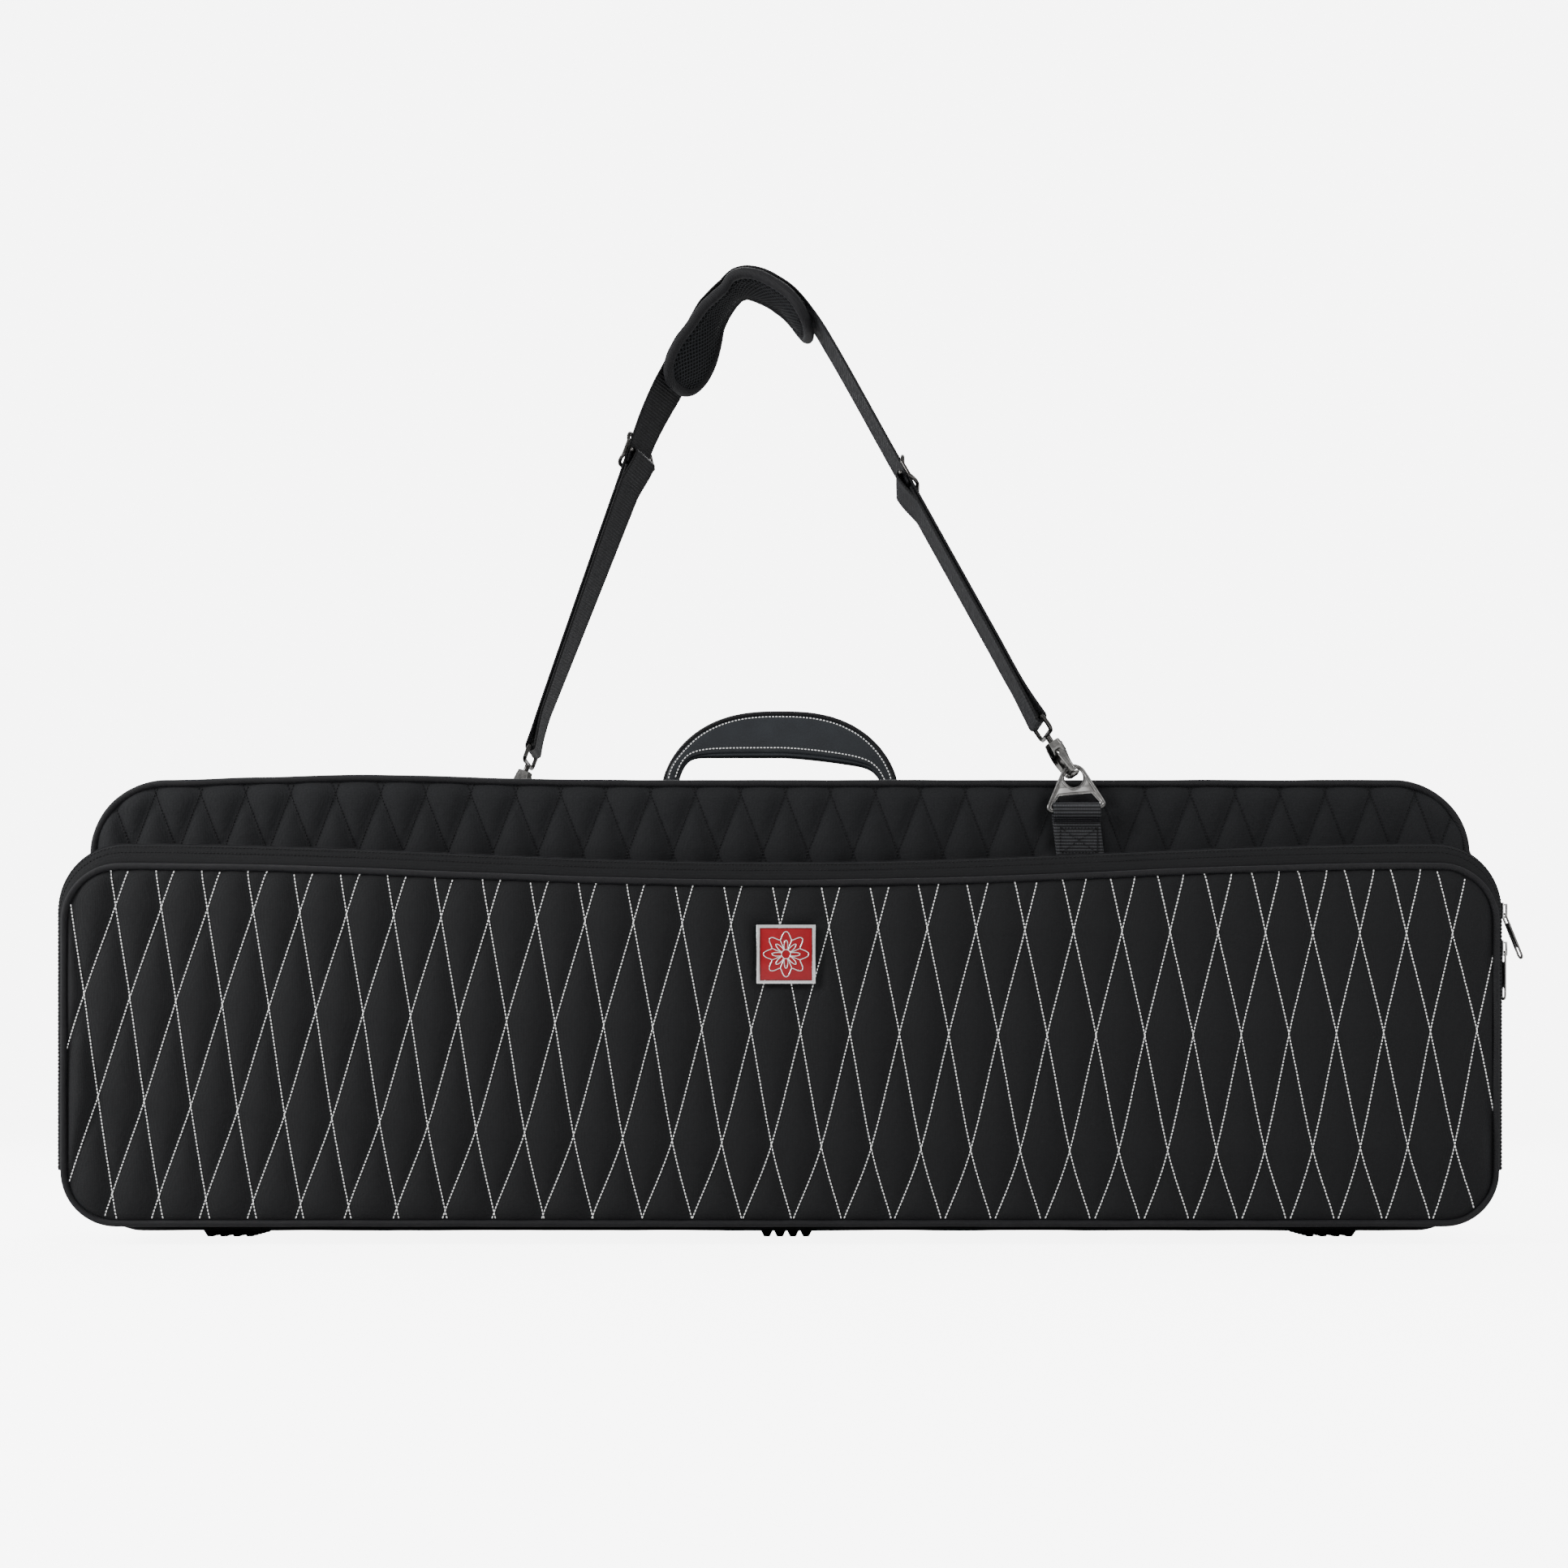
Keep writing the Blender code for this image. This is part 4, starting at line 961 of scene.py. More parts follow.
WEB_WIDTH = 38 * MM
WEB_THICK = 2.2 * MM
TAB_LOOP = 3.2 * MM
EYE_TOP = 44.7 * MM
RING_LEAN = -5
BAR_GAP = 3.5 * MM
LAYER_PITCH = 2.8 * MM
PAD_HALF = 94.5 * MM
PAD_SHIFT = 12.5 * MM
PAD_WIDTH = 58 * MM
PAD_DROP = WEB_THICK / 2 + 7.1 * MM
ADJUSTER_SHARE = 0.92
ADJUSTER_END = {"rear": Vector((-0.112, 0.038, 0.676)), "front": Vector((0.093, -0.032, 0.622))}
CROWN = ((-0.075, 0.022, 0.741), (-0.060, 0.014, 0.771), (-0.034, 0.002, 0.789), (-0.002, -0.007, 0.778),
         (0.030, -0.013, 0.742))
# How far round its own line the strap is turned, in degrees, at distances past its highest point.
TWIST = ((-0.42, 0), (-0.36, 5), (-0.24, 14), (-0.155, 20), (-0.112, 28), (-0.075, 26), (-0.055, 16),
         (-0.035, 2), (-0.015, -8), (0.03, -5), (0.095, 0))


def joint(name):
    return next(j for j in frame["joints"] if j["name"] == name)


def smooth(points, steps):
    """A Catmull-Rom curve through points."""
    path = []
    ends = [2 * points[0] - points[1]] + points + [2 * points[-1] - points[-2]]
    for i in range(1, len(ends) - 2):
        a, b, c, d = ends[i - 1:i + 3]
        square = 2 * a - 5 * b + 4 * c - d
        cube = 3 * b - a - 3 * c + d
        for k in range(steps):
            t = k / steps
            path.append(b + 0.5 * t * ((c - a) + t * (square + t * cube)))
    path.append(points[-1])
    return path


def hook_frame(end):
    """A hook's own frame: its origin on the ring's wire, x away from the case and z up the strap's leg."""
    swivel = joint(end + "_swivel")
    out = Vector((0, -1 if end == "front" else 1, 0))
    up = Vector(swivel["axis"]).normalized()
    place = Vector(swivel["pos_m"]) + MM * out
    return Matrix.Translation(place) @ Matrix((out, up.cross(out), up)).transposed().to_4x4()


def eye_bar(end):
    """The bar that the webbing goes round, the way up the leg, and the way in under the strap."""
    up = Vector(joint(end + "_swivel")["axis"]).normalized()
    side = 1 if end == "front" else -1
    return hook_frame(end) @ Vector((-MM, 0, EYE_TOP)), up, side * up.cross(Vector((0, 1, 0)))


def leg_line(end):
    bar, up, inward = eye_bar(end)
    start = bar - BAR_GAP * inward
    lower = start + 30 * MM * up
    return [start] + [lower.lerp(ADJUSTER_END[end], share) for share in (0, 0.2, 0.4, 0.6, 0.8, 1.03)]


def strap_frames():
    """Rows of place, width direction and the way in under the strap, and each row's run past the top."""
    path = smooth(leg_line("rear") + [Vector(p) for p in CROWN] + leg_line("front")[::-1], 20)
    places = resampled([list(p) for p in path], 1.5 * MM)
    ahead = tangents(places)
    across = unit(DEPTH - ahead[:, 1:2] * ahead)
    runs = np.arange(len(places)) * np.linalg.norm(places[1] - places[0])
    runs -= runs[int(np.argmax(places[:, 2]))]
    turn = -np.radians(np.interp(runs, *zip(*TWIST)))[:, None]
    across = across * np.cos(turn) + np.cross(ahead, across) * np.sin(turn)
    return places, across, np.cross(across, ahead), runs


def return_rows(end, places, across, inward):
    """The webbing's way round the eye's bar and back up inside the leg to the adjuster."""
    bar, up, inside = eye_bar(end)
    rows = []
    for turn in math.pi / 16 * np.arange(1, 16):
        rows.append([*(bar - BAR_GAP * (math.cos(turn) * inside + math.sin(turn) * up)), *DEPTH])
    reach = (ADJUSTER_END[end] - Vector(places[0])).length * ADJUSTER_SHARE
    for place, side, normal in zip(places, across, inward):
        run = np.linalg.norm(place - places[0])
        if run > reach:
            break
        spread = max(0.0, 1 - run / (35 * MM)) ** 1.5
        rows.append([*(place + (LAYER_PITCH + (2 * BAR_GAP - LAYER_PITCH) * spread) * normal), *side])
    return rows[:-8]


def ribbon(name, rows, width, thick, skin, body, replaces=()):
    """Webbing: ribs across its length, with thicker selvedges. rows are places and width directions."""
    rows = resampled(rows, RIB / 4)
    places, across = rows[:, :3], unit(rows[:, 3:])
    normal = unit(np.cross(across, tangents(places)))
    valleys = 0.5 - 0.5 * np.sin(0.5 * math.pi * np.arange(len(rows)))
    edge = ((-1.0, 0.35), (-0.97, 0.9), (-0.9, 1.1), (-0.84, 0.85), (-0.4, 0.95))
    section = [*edge, (0.0, 1.0), *[(-share, fat) for share, fat in edge[::-1]]]
    rings = []
    for face in (1, -1):
        for share, fat in section[::face]:
            half = 0.5 * thick * fat * (1 - 0.24 * (1 - 0.7 * share ** 4) * valleys)[:, None]
            rings.append(places + share * 0.5 * width * across + face * half * normal)
    return piece(name, loft(name, np.stack(rings, 1)), skin, body, replaces)


def shoulder_pad(places, across, inward, runs):
    """A crowned cushion of air mesh under the webbing, with rounded ends and a thick bound edge."""
    share = np.sin(np.linspace(-0.5, 0.5, 81) * math.pi)
    at, side, under = (sampled(share * PAD_HALF - PAD_SHIFT, runs, rows) for rows in (places, across, inward))
    side, under = unit(side), unit(under)
    corner = 0.24
    past = np.clip(np.abs(share) - (1 - corner), 0, corner) / corner
    half = ((PAD_WIDTH / 2 - 4 * MM) * (0.12 + 0.88 * np.sqrt(1 - past ** 2)))[:, None]
    middle = at + PAD_DROP * under
    puff = 1 - 0.75 * past ** 3
    sag = 0.6 * MM * ripples(middle, 26 * MM, 21)
    rings = []
    for face in (1, -1):
        for c in np.linspace(-1, 1, 17)[::face]:
            channel = 1 - 0.16 * math.exp(-((abs(c) - 0.5) / 0.07) ** 2)
            high = (3.4 * MM + (2.2 if face > 0 else 0.9) * MM * (1 - c * c)) * channel
            lift = (high * puff * (1 - 0.5 * abs(c) ** 8) + sag * (1 - c * c))[:, None]
            rings.append(middle + half * c * side + face * lift * under)
    softened(piece("pad_cushion", loft("pad_cushion", np.stack(rings, 1)), MESH, "strap",
                   ["shoulder_pad"]))
    rim = np.concatenate([middle - half * side, (middle + half * side)[::-1]])
    rows = resampled(np.hstack([rim, np.concatenate([under, under[::-1]])]), 2.5 * MM)[:-1]
    rim, flat = rows[:, :3], unit(rows[:, 3:])
    outward = np.cross(flat, tangents(rim, True))
    outward *= np.sign(((rim - rim.mean(0)) * outward).sum())
    thick = 4.3 * MM * (1 + 0.06 * ripples(rim, 15 * MM, 4))
    piece("pad_binding", tube("pad_binding", rim, outward, thick, 12), BINDING, "strap")
    inset = rim - 5.8 * MM * outward + 3.9 * MM * flat
    stitches("pad_stitching", [(inset, flat)], BLACK_THREAD, "strap", (2.2 * MM, 3.0 * MM, 0.4 * MM))


def strap():
    places, across, inward, runs = strap_frames()
    rear = return_rows("rear", places, across, inward)
    front = return_rows("front", places[::-1], across[::-1], inward[::-1])
    rows = np.vstack([rear[::-1], np.hstack([places, across]), front])
    ribbon("strap_ribbon", rows, WEB_WIDTH, WEB_THICK, WEBBING, "strap", ["strap_webbing"])
    shoulder_pad(places, across, inward, runs)
    half = len(places) // 2
    for end, some in (("rear", slice(None, half)), ("front", slice(half, None))):
        adjuster(end, places[some], across[some], inward[some])


def adjuster(end, places, across, inward):
    """A bent wire slide on the outer side of the strap, and the fold of webbing round its middle bar."""
    bar = eye_bar(end)[0]
    target = np.array(bar.lerp(ADJUSTER_END[end], ADJUSTER_SHARE))
    k = int(np.argmin(np.linalg.norm(places - target, axis=1)))
    here, side, normal = places[k], across[k], inward[k]
    ahead = np.cross(normal, side)
    ahead = ahead * np.sign((here - np.array(bar)) @ ahead)
    rod, bar_rod = 1.9 * MM, 1.4 * MM
    end_lift = -(WEB_THICK / 2 + rod + 0.3 * MM)
    fold = bar_rod + WEB_THICK / 2 + 0.2 * MM
    bar_lift = WEB_THICK + 0.4 * MM + fold
    half, reach, corner = WEB_WIDTH / 2 + 4.0 * MM, 13 * MM, 7 * MM
    turns = np.linspace(0, 2 * math.pi, 96, endpoint=False)
    wide = np.sign(np.cos(turns)) * (half - corner) + corner * np.cos(turns)
    long = np.sign(np.sin(turns)) * (reach - corner) + corner * np.sin(turns)
    lift = bar_lift + (end_lift - bar_lift) * np.clip(np.abs(long) / reach, 0, 1) ** 0.8
    loop = here + wide[:, None] * side + long[:, None] * ahead + lift[:, None] * normal
    loop = resampled(np.vstack([loop, loop[:1]]), 1.0 * MM)[:-1]
    outward = unit(np.cross(tangents(loop, True), normal))
    bar_line = here + np.linspace(-half, half, 24)[:, None] * side + bar_lift * normal
    meshes = [tube("rod", loop, outward, rod, 12, True, 0.8),
              tube("rod", bar_line, np.tile(normal, (24, 1)), bar_rod, 12, False)]
    body = end + "_adjuster"
    piece(body + "_wire", joined(body + "_wire", meshes), NICKEL, body, [body])
    steps = []
    start = LAYER_PITCH - 0.5 * MM
    for back in np.linspace(34, 2, 14) * MM:
        climb = 1 - back / (34 * MM)
        steps.append((-back, start + (bar_lift + fold - start) * climb ** 2 * (3 - 2 * climb)))
    for turn in np.linspace(0, math.pi, 12):
        steps.append((fold * math.sin(turn), bar_lift + fold * math.cos(turn)))
    steps += [(-back, bar_lift - fold) for back in (4 * MM, 9 * MM)]
    rows = [[*(here + away * ahead + lift * normal), *side] for away, lift in steps]
    ribbon(body + "_fold", rows, WEB_WIDTH - 0.6 * MM, WEB_THICK * 0.9, WEBBING, body)


def ring_tab(end, body):
    """The tab that holds a ring: two layers sewn flat, and a loop round the ring's bar."""
    side = -1 if end == "front" else 1
    low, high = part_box(end + "_ring_tab")
    _, bar_y, bar_z = joint(end + "_ring_swing")["pos_m"]
    bar_y = abs(bar_y)
    wall_y = 0.5 * WEB_THICK + abs((high if side < 0 else low).y)
    outer = wall_y + WEB_THICK + 0.5 * MM
    foot = low.z - 9 * MM
    path = [(wall_y, foot), (wall_y, foot + 0.6 * (bar_z - foot)), (wall_y, bar_z - 8 * MM)]
    for i in range(7):
        turn = math.radians(-80 - 190 * i / 6)
        path.append((bar_y + TAB_LOOP * math.sin(turn), bar_z - TAB_LOOP * math.cos(turn)))
    path += [(bar_y + 1.5 * MM, bar_z - 6.0 * MM), (outer + 1.2 * MM, bar_z - 9.5 * MM),
             (outer, bar_z - 14 * MM), (outer, foot)]
    middle_x = 0.5 * (low.x + high.x)
    lean = 0.12 if end == "front" else 0.0
    curve = smooth([Vector((middle_x + lean * (bar_z - z), side * y, z)) for y, z in path], 8)
    rows = [[*p, 1, 0, 0] for p in curve]
    tab = ribbon(end + "_tab", rows, WEB_WIDTH - 1 * MM, WEB_THICK, TAB_WEBBING, body, [end + "_ring_tab"])
    top, bottom, half = bar_z - 15 * MM, foot + 5 * MM, WEB_WIDTH / 2 - 4.5 * MM
    centre = middle_x + lean * (bar_z - 0.5 * (top + bottom))
    left, right = centre - half, centre + half
    corners = [(left, top), (right, top), (right, bottom), (left, bottom), (left, top), (right, bottom),
               (right, top), (left, bottom)]
    tree = surface_tree(tab)
    runs = []
    for (xa, za), (xb, zb) in zip(corners, corners[1:]):
        line = [(xa + (xb - xa) * t, side * outer, za + (zb - za) * t) for t in np.linspace(0, 1, 16)]
        run = dropped(tree, line, (0, -side, 0))
        if len(run[0]) > 3:
            runs.append(run)
    stitches(end + "_tab_stitching", runs, BLACK_THREAD, body, (2.0 * MM, 2.6 * MM, 0.42 * MM))


# ---- rings and hooks

def round_hull(circles):
    """The outline round some circles, each (across, up, radius), as evenly spaced points."""
    turns = np.linspace(0, 2 * math.pi, 361)
    away = np.stack([np.cos(turns), np.sin(turns)], 1)
    circles = np.array(circles, float)
    furthest = circles[(away @ circles[:, :2].T + circles[:, 2]).argmax(1)]
    return resampled(furthest[:, :2] + furthest[:, 2:] * away, 0.7 * MM)[:-1]


def plate_mesh(loops, half_thick):
    """A flat plate with holes: the first loop is its outline, the others are the holes."""
    bm = bmesh.new()
    sides = []
    for height in (half_thick, -half_thick):
        sides.append([[bm.verts.new((*p, height)) for p in loop] for loop in loops])
    for corners in tessellate_polygon([[Vector((*p, 0)) for p in loop] for loop in loops]):
        for side in sides:
            verts = sum(side, [])
            bm.faces.new([verts[k] for k in corners])
    for front, back in zip(*sides):
        for k in range(len(front)):
            bm.faces.new((front[k - 1], front[k], back[k], back[k - 1]))
    bmesh.ops.recalc_face_normals(bm, faces=bm.faces)
    return made(bm, "plate")


def ring(end):
    """A flat triangular ring with a round hole over a wide slot, and a rounded rim round each edge."""
    low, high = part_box(end + "_ring")
    middle = 0.5 * (low + high)
    bar_z = joint(end + "_ring_swing")["pos_m"][2]
    top, half = high.z - bar_z, 0.5 * (high.x - low.x)
    wire, head, foot, corner = 1.5 * MM, 10.4 * MM, 4.2 * MM, 1.5 * MM
    head_z = top - head
    slope = (half - foot - 0.6 * MM) / head_z
    outline = [(0, head_z, head)] + [(side * (half - foot), foot - 2.4 * MM, foot) for side in (-1, 1)]
    slot = []
    for side in (-1, 1):
        for up in (2.4 * MM, top - 23.5 * MM - corner):
            slot.append((side * (half - 3.4 * MM - corner - slope * (up - 1 * MM)), up, corner))
    loops = [round_hull(outline), round_hull([(0, head_z, 7.4 * MM)]), round_hull(slot)]
    edges = [plate_mesh(loops, 0.8 * MM)]
    for loop, inset, radius in zip(loops, (wire - 0.3 * MM, 0.3 * MM - wire, 0.3 * MM - wire),
                                   (wire, 0.75 * wire, 0.75 * wire)):
        flat = np.insert(loop, 2, 0, axis=1)
        out = unit(np.cross(tangents(flat, True), np.array([0, 0, 1.0])))
        edges.append(tube("rim", flat - inset * out, out, radius, 12))
    mesh = joined(end + "_ring_plate", edges)
    lean = Matrix.Rotation(math.radians(RING_LEAN), 4, "Y") if end == "front" else Matrix()
    mesh.transform(Matrix.Translation((middle.x, middle.y, bar_z)) @ lean
                   @ Matrix.Rotation(math.radians(90), 4, "X"))
    piece(end + "_ring_plate", mesh, GUNMETAL, end + "_ring", [end + "_ring"])


def hook(end):
    """The hook's body: a barrel that flattens into a faceted spine and curls under the ring to a rounded tip.
    Its spine's rows are across, up, half thickness and half width, in millimetres."""
    place = hook_frame(end)
    spine = np.array((
        (-1.0, 25.2, 3.6, 4.4), (-1.0, 24.6, 5.2, 5.4), (-1.0, 20.5, 5.6, 6.0), (-2.4, 16.6, 5.0, 6.3),
        (-5.0, 13.0, 3.4, 6.2), (-6.8, 8.5, 2.4, 5.9), (-7.3, 4.0, 2.0, 5.4), (-7.2, 0.0, 1.9, 5.0),
        (-5.9, -3.6, 1.9, 4.6), (-3.2, -5.8, 1.8, 4.3), (0.0, -6.4, 1.7, 4.0), (3.2, -6.4, 1.6, 3.8),
        (5.8, -6.0, 1.5, 3.5), (7.4, -5.5, 1.1, 2.9), (7.9, -5.3, 0.5, 1.6)))
    section = ((-1, -0.25), (-1, 0.3), (-0.55, 0.95), (0.55, 0.95), (1, 0.3), (1, -0.25), (0.6, -0.9),
               (-0.6, -0.9))
    centres = np.insert(spine[:, :2], 1, 0, axis=1)
    ahead = tangents(centres)
    rings = []
    for centre, way, (_, _, thick, wide) in zip(centres, ahead, spine):
        normal = np.array([way[2], 0, -way[0]])
        spots = [centre + 1.12 * wide * y * DEPTH + thick * up * normal for y, up in section]
        rings.append([list(place @ Vector(p * MM)) for p in spots])
    name = end + "_hook"
    body = piece(name + "_body", loft(name + "_body", rings), POLISHED, name, [name])
    softened(bevelled(body, 0.35 * MM, 24))
    turn = place.to_3x3().to_4x4() @ Matrix.Diagonal((1, 0.6, 1, 1))
    heads = bmesh.new()
    for across in (-6.3, 6.3):
        for x, z in ((-2.6, 15.2), (-1.0, 20.5)):
            spot = Matrix.Translation(place @ Vector((x * MM, across * MM, z * MM)))
            bmesh.ops.create_uvsphere(heads, u_segments=12, v_segments=8, radius=1.5 * MM, matrix=spot @ turn)
    piece(name + "_pins", made(heads, name + "_pins"), NICKEL, name)


def hook_gate(end):
    """The gate: a leaf with a raised back that closes the mouth from its pin down to the hook's tip.
    Its rows are across, up, half thickness and half width, in millimetres."""
    place = hook_frame(end)
    profile = ((3.2, 17.0, 1.0, 2.4), (4.2, 15.2, 1.5, 2.8), (4.9, 13.0, 1.6, 2.9), (5.8, 9.0, 1.4, 2.9),
               (6.6, 4.5, 1.3, 2.8), (7.1, 0.0, 1.2, 2.6), (7.3, -3.0, 1.0, 2.3), (7.2, -4.0, 0.6, 1.6))
    section = ((1, -0.5), (1, 0.5), (0.3, 1), (-1, 0.8), (-1, -0.8), (0.3, -1))
    rings = []
    for x, z, thick, wide in profile:
        spots = [((x + a * thick) * MM, b * wide * MM, z * MM) for a, b in section]
        rings.append([list(place @ Vector(spot)) for spot in spots])
    name = end + "_gate_leaf"
    bevelled(piece(name, loft(name, rings), POLISHED, end + "_gate", [end + "_gate"]), 0.3 * MM)


# ---- handle

# The height of the hand hold's upper side, and how much lower it is at the right end.
HAND_HOLD_TOP = 0.3915
HAND_HOLD_DROOP = 9.5 * MM


def handle():
    """A padded crescent of hide with a bound outer edge, a rolled lower edge and rows of white stitches."""
    low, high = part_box("handle_grip")
    t = np.sin(np.pi * np.linspace(-0.5, 0.5, 121))
    reach, inner_reach, splay = high.x + 3 * MM, high.x - 15 * MM, 5 * MM
    under = HAND_HOLD_TOP - HAND_HOLD_DROOP * np.clip(t, 0, 1) ** 1.5
    arch = (1 - np.abs(t) ** 20) ** 0.5
    outer = np.stack([reach * t, 0 * t, low.z + (high.z - low.z) * (1 - np.abs(t) ** 2.6) ** 0.62], 1)
    inner_x = inner_reach * t + splay * np.sign(t) * (1 - arch)
    inner = np.stack([inner_x, 0 * t, low.z + (under - low.z) * arch], 1)
    width = np.linalg.norm(outer - inner, axis=1)
    rise = unit(outer - inner)
    creases = np.abs(t) ** 6
    rings = []
    for face in (-1, 1):
        for s in np.linspace(0, 1, 15)[::-face]:
            place = inner + 1.5 * MM * rise + s * (width - 3.5 * MM)[:, None] * rise
            full = 3.2 * MM + 2.0 * MM * math.sin(math.pi * s) ** 0.7 * np.clip(width / (22 * MM), 0.3, 1)
            crumple = 0.5 * MM * ripples(place, 9 * MM, 31) * (0.35 + creases)
            edge = 1 if 0 < s < 1 else 0.35
            rings.append(place + (face * (full * edge + crumple))[:, None] * DEPTH)
    grip = softened(piece("handle_hide", loft("handle_hide", np.stack(rings, 1)), HIDE, "handle",
                          ["handle_grip"]))
    for name, line, radius, flat, skin, slot in (
            ("handle_binding", outer - 2.3 * MM * rise, 2.3 * MM, 2.1, BINDING, "bound_edge"),
            ("handle_rolled_edge", inner + 2.0 * MM * rise, 2.2 * MM, 1.9, HIDE, "hide")):
        line[[0, -1], 2] = low.z
        piece(name, tube(name, line, rise, radius, 14, False, flat), skin, "handle")
    tree = surface_tree(grip)
    runs = []
    for face in (-1, 1):
        for line in (outer - 5.4 * MM * rise, inner + ((7.6 - 3.9 * np.abs(t) ** 8) * MM)[:, None] * rise):
            run = dropped(tree, line[4:-4], -face * DEPTH)
            if len(run[0]) > 3:
                runs.append(run)
    stitches("handle_stitching", runs, WHITE_THREAD, "handle", (2.1 * MM, 2.8 * MM, 0.45 * MM))


# ---- badge and linings

def badge():
    """A plain eight-petalled rosette in silver wire on the enamel."""
    low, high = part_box("badge_inlay")
    centre = np.array([0.5 * (low.x + high.x), low.y, 0.5 * (low.z + high.z)])
    reach = 0.5 * (high.x - low.x) - 2.4 * MM
    turns = np.linspace(0, 2 * math.pi, 160, endpoint=False)
    meshes = []
    for size, wave in ((1.0, 0.16), (0.62, 0.34), (0.2, 0.0)):
        radius = reach * size * (1 - wave + wave * np.cos(8 * turns))
        places = centre + np.stack([radius * np.cos(turns), 0 * turns, radius * np.sin(turns)], 1)
        meshes.append(tube("wire", places, np.tile(-DEPTH, (160, 1)), 0.45 * MM, 6))
    for turn in math.pi / 8 * np.arange(1, 17, 2):
        share = np.linspace(0.24, 0.70, 12)[:, None] * reach
        places = centre + share * np.array([math.cos(turn), 0, math.sin(turn)])
        meshes.append(tube("wire", places, np.tile(-DEPTH, (12, 1)), 0.4 * MM, 6, False))
    piece("badge_rosette", joined("badge_rosette", meshes), SILVER, "pocket_flap")


def lining(node, rim, inset, body, facing):
    """A slack satin lining: soft wrinkles between its edges, and a closed thin sheet."""
    low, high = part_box(node)
    columns = np.linspace(-1, 1, 121)
    columns = np.sign(columns) * (1 - (1 - np.abs(columns)) ** 1.15)
    shares = np.linspace(0, 1, 45)
    x = np.repeat((columns * (rim.half - inset))[:, None], len(shares), 1)
    floor = rim.low_at(x, inset)
    z = floor + shares[None] * (rim.top_at(x, inset) - floor)
    slack = 0
    for weight, size, stretch, seed in ((1, 45 * MM, 0.5, 41), (0.5, 16 * MM, 0.6, 43)):
        spots = np.stack([x, 0 * x, z * stretch], -1).reshape(-1, 3)
        slack = slack + weight * ripples(spots, size, seed).reshape(x.shape)
    edge = np.min(rim.gaps(x, z, inset), axis=0)
    y = (high.y if facing > 0 else low.y) + facing * 0.9 * MM * slack * np.tanh(edge / (12 * MM))
    mesh = loft(node + "_cloth", np.stack([x, y, z], -1), wrap=False)
    if facing < 0:
        mesh.flip_normals()
    sheet = piece(node + "_cloth", mesh, LINING, body, [node])
    changed(sheet, "SOLIDIFY", thickness=MM, offset=-1)


def linings():
    lining("lid_lining", SHELL, 6.6 * MM, "lid", 1)
    lining("case_lining", SHELL, 6.6 * MM, "case", -1)
    lining("pocket_lining", POCKET, 8.2 * MM, "pocket_flap", 1)


# ---- floor, light and camera

FLOOR_DROP = 0.085
FLOOR_GLOW = 6.2
FLOOR_HALF = 9.0
PLINTH_HALF = (0.62, 0.062)
PLINTH_PLACE = (0, 0.018, -0.0003)
FILL_LIGHT = (0.10, 0.95)
BACKDROP_LIGHT = 7.0
# Each soft box: its place, its power in watts and its width.
SOFT_BOXES = (((-2.2, -1.0, 1.3), 75, 0.9), ((1.9, -1.6, 1.6), 26, 1.2), ((0, 1.8, 2.2), 55, 2.0),
              ((0, -2.8, 0.6), 8, 2.0))
LAMP_AIM = Vector((0, 0, 0.25))
CAMERA_DISTANCE = 1.382
CAMERA_HEIGHT = 0.113
LENS = 38.5
SENSOR = 36
LENS_SIDE = 0.0026
LENS_RISE = 0.199


def driven(curve, name, target, channel, expression):
    """Sets a driver that works from one channel of an object."""
    driver = curve.driver
    variable = driver.variables.new()
    variable.name = name
    variable.type = "TRANSFORMS"
    variable.targets[0].id = target
    variable.targets[0].transform_type = channel
    driver.expression = expression


def plain_sheet(name, size_x, size_y, skin):
    bm = bmesh.new()
    bmesh.ops.create_grid(bm, x_segments=1, y_segments=1, size=1.0)
    bmesh.ops.scale(bm, vec=(size_x, size_y, 1), verts=bm.verts)
    obj = placed(name, made(bm, name))
    obj.data.materials.append(skin)
    return obj


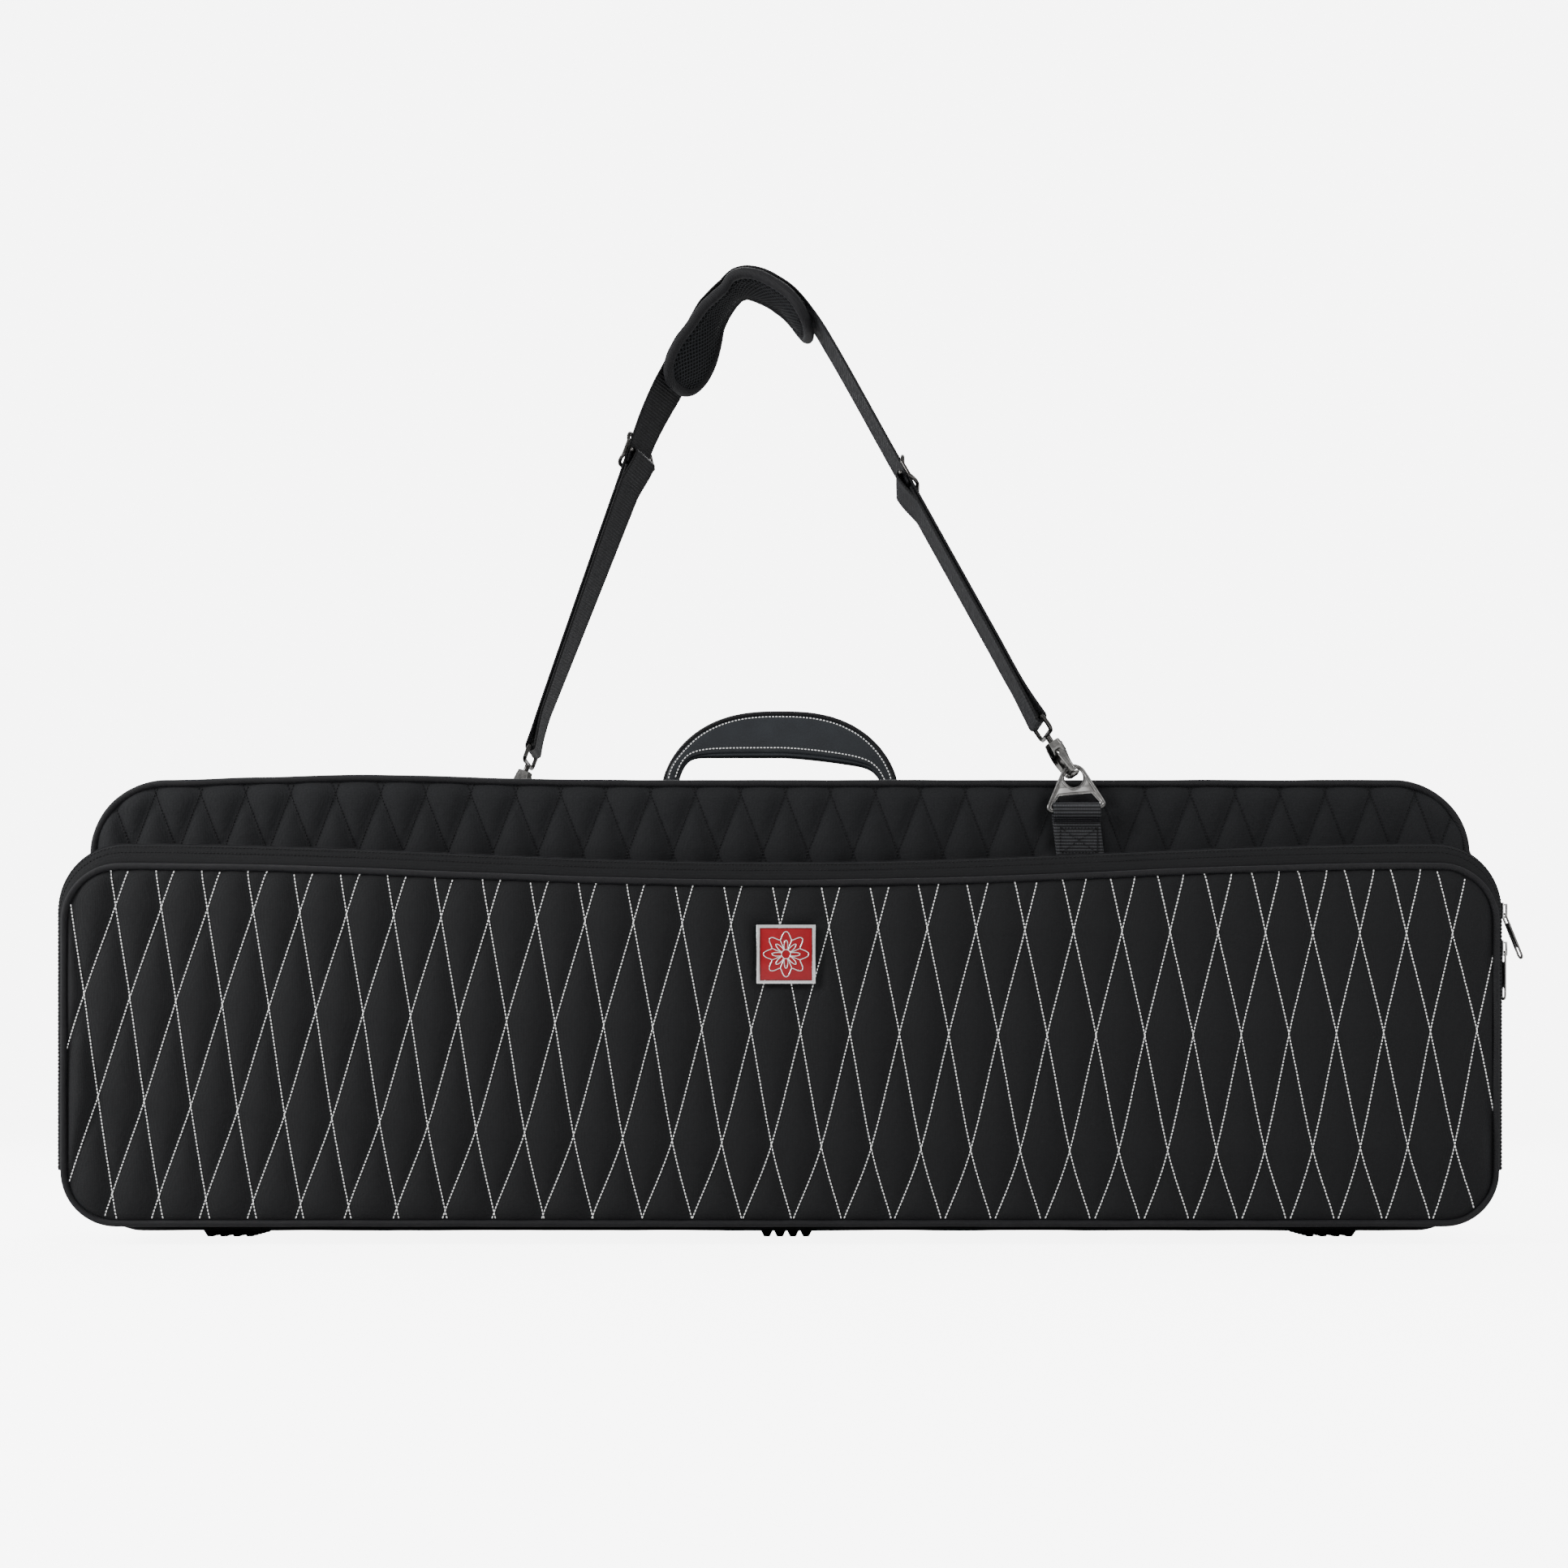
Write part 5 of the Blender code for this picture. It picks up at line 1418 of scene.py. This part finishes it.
def floor_and_plinth():
    """A pale floor. When the lid swings past the case's foot, the floor drops and leaves a low plinth."""
    skin = Skin("pale_floor", (0.9, 0.9, 0.9), 0.8)
    glow = skin.math("MULTIPLY", skin.add("ShaderNodeLightPath")["Is Camera Ray"], FLOOR_GLOW)
    skin.set({"Specular IOR Level": 0.1, "Emission Color": (1, 1, 1, 1), "Emission Strength": glow})
    floor = plain_sheet("floor", FLOOR_HALF, FLOOR_HALF, skin.material)
    plinth = plain_sheet("plinth", *PLINTH_HALF, skin.material)
    plinth.location = PLINTH_PLACE
    changed(plinth, "SOLIDIFY", thickness=FLOOR_DROP, offset=-1)
    driven(floor.driver_add("location", 2), "turn", frame["bodies"]["lid"], "ROT_X",
           f"-{FLOOR_DROP} * min(1.0, 5.0 * abs(turn))")


def world_light():
    """A soft fill that is stronger from above, and a bright backdrop that only the camera sees."""
    world = bpy.data.worlds.new("studio")
    bpy.context.scene.world = world
    world.use_nodes = True
    nodes = world.node_tree.nodes
    places = nodes.new("ShaderNodeTexCoord").outputs
    height = feed(nodes.new("ShaderNodeSeparateXYZ"), {"Vector": places["Generated"]})
    fill = nodes.new("ShaderNodeMapRange")
    fill.interpolation_type = "SMOOTHSTEP"
    low, high = FILL_LIGHT
    fill = feed(fill, {"From Min": -0.5, "To Min": low, "To Max": high, "Value": height["Z"]})
    seen = nodes.new("ShaderNodeLightPath").outputs["Is Camera Ray"]
    inputs = {"Value": seen, "To Min": fill["Result"], "To Max": BACKDROP_LIGHT}
    level = feed(nodes.new("ShaderNodeMapRange"), inputs)
    feed(nodes["Background"], {"Color": (1, 1, 1, 1), "Strength": level["Result"]})


def studio():
    scene = bpy.context.scene
    world_light()
    for i, (place, power, size) in enumerate(SOFT_BOXES):
        light = bpy.data.lights.new(f"soft_box_{i}", "AREA")
        light.energy = power
        light.size = size
        lamp = placed(f"soft_box_{i}", light)
        lamp.location = place
        lamp.rotation_euler = (LAMP_AIM - Vector(place)).to_track_quat("-Z", "Y").to_euler()
    data = bpy.data.cameras.new("camera")
    data.lens = LENS
    data.sensor_width = SENSOR
    data.shift_x = LENS_SIDE
    camera = placed("camera", data)
    camera.location = (0, -CAMERA_DISTANCE, CAMERA_HEIGHT)
    camera.rotation_euler = (math.radians(90), 0, 0)
    scene.camera = camera
    # The low, level camera needs its lens raised to centre the case; one that is moved up needs no shift.
    driven(data.driver_add("shift_y"), "height", camera, "LOC_Z",
           f"{LENS_RISE} if height < {2 * CAMERA_HEIGHT} else 0")


quilted_panels()
cords()
body_walls()
zips()
fittings()
strap()
ring_tab("front", "lid")
ring_tab("rear", "case")
for hook_end in ("front", "rear"):
    ring(hook_end)
    hook(hook_end)
    hook_gate(hook_end)
handle()
badge()
linings()
floor_and_plinth()
studio()
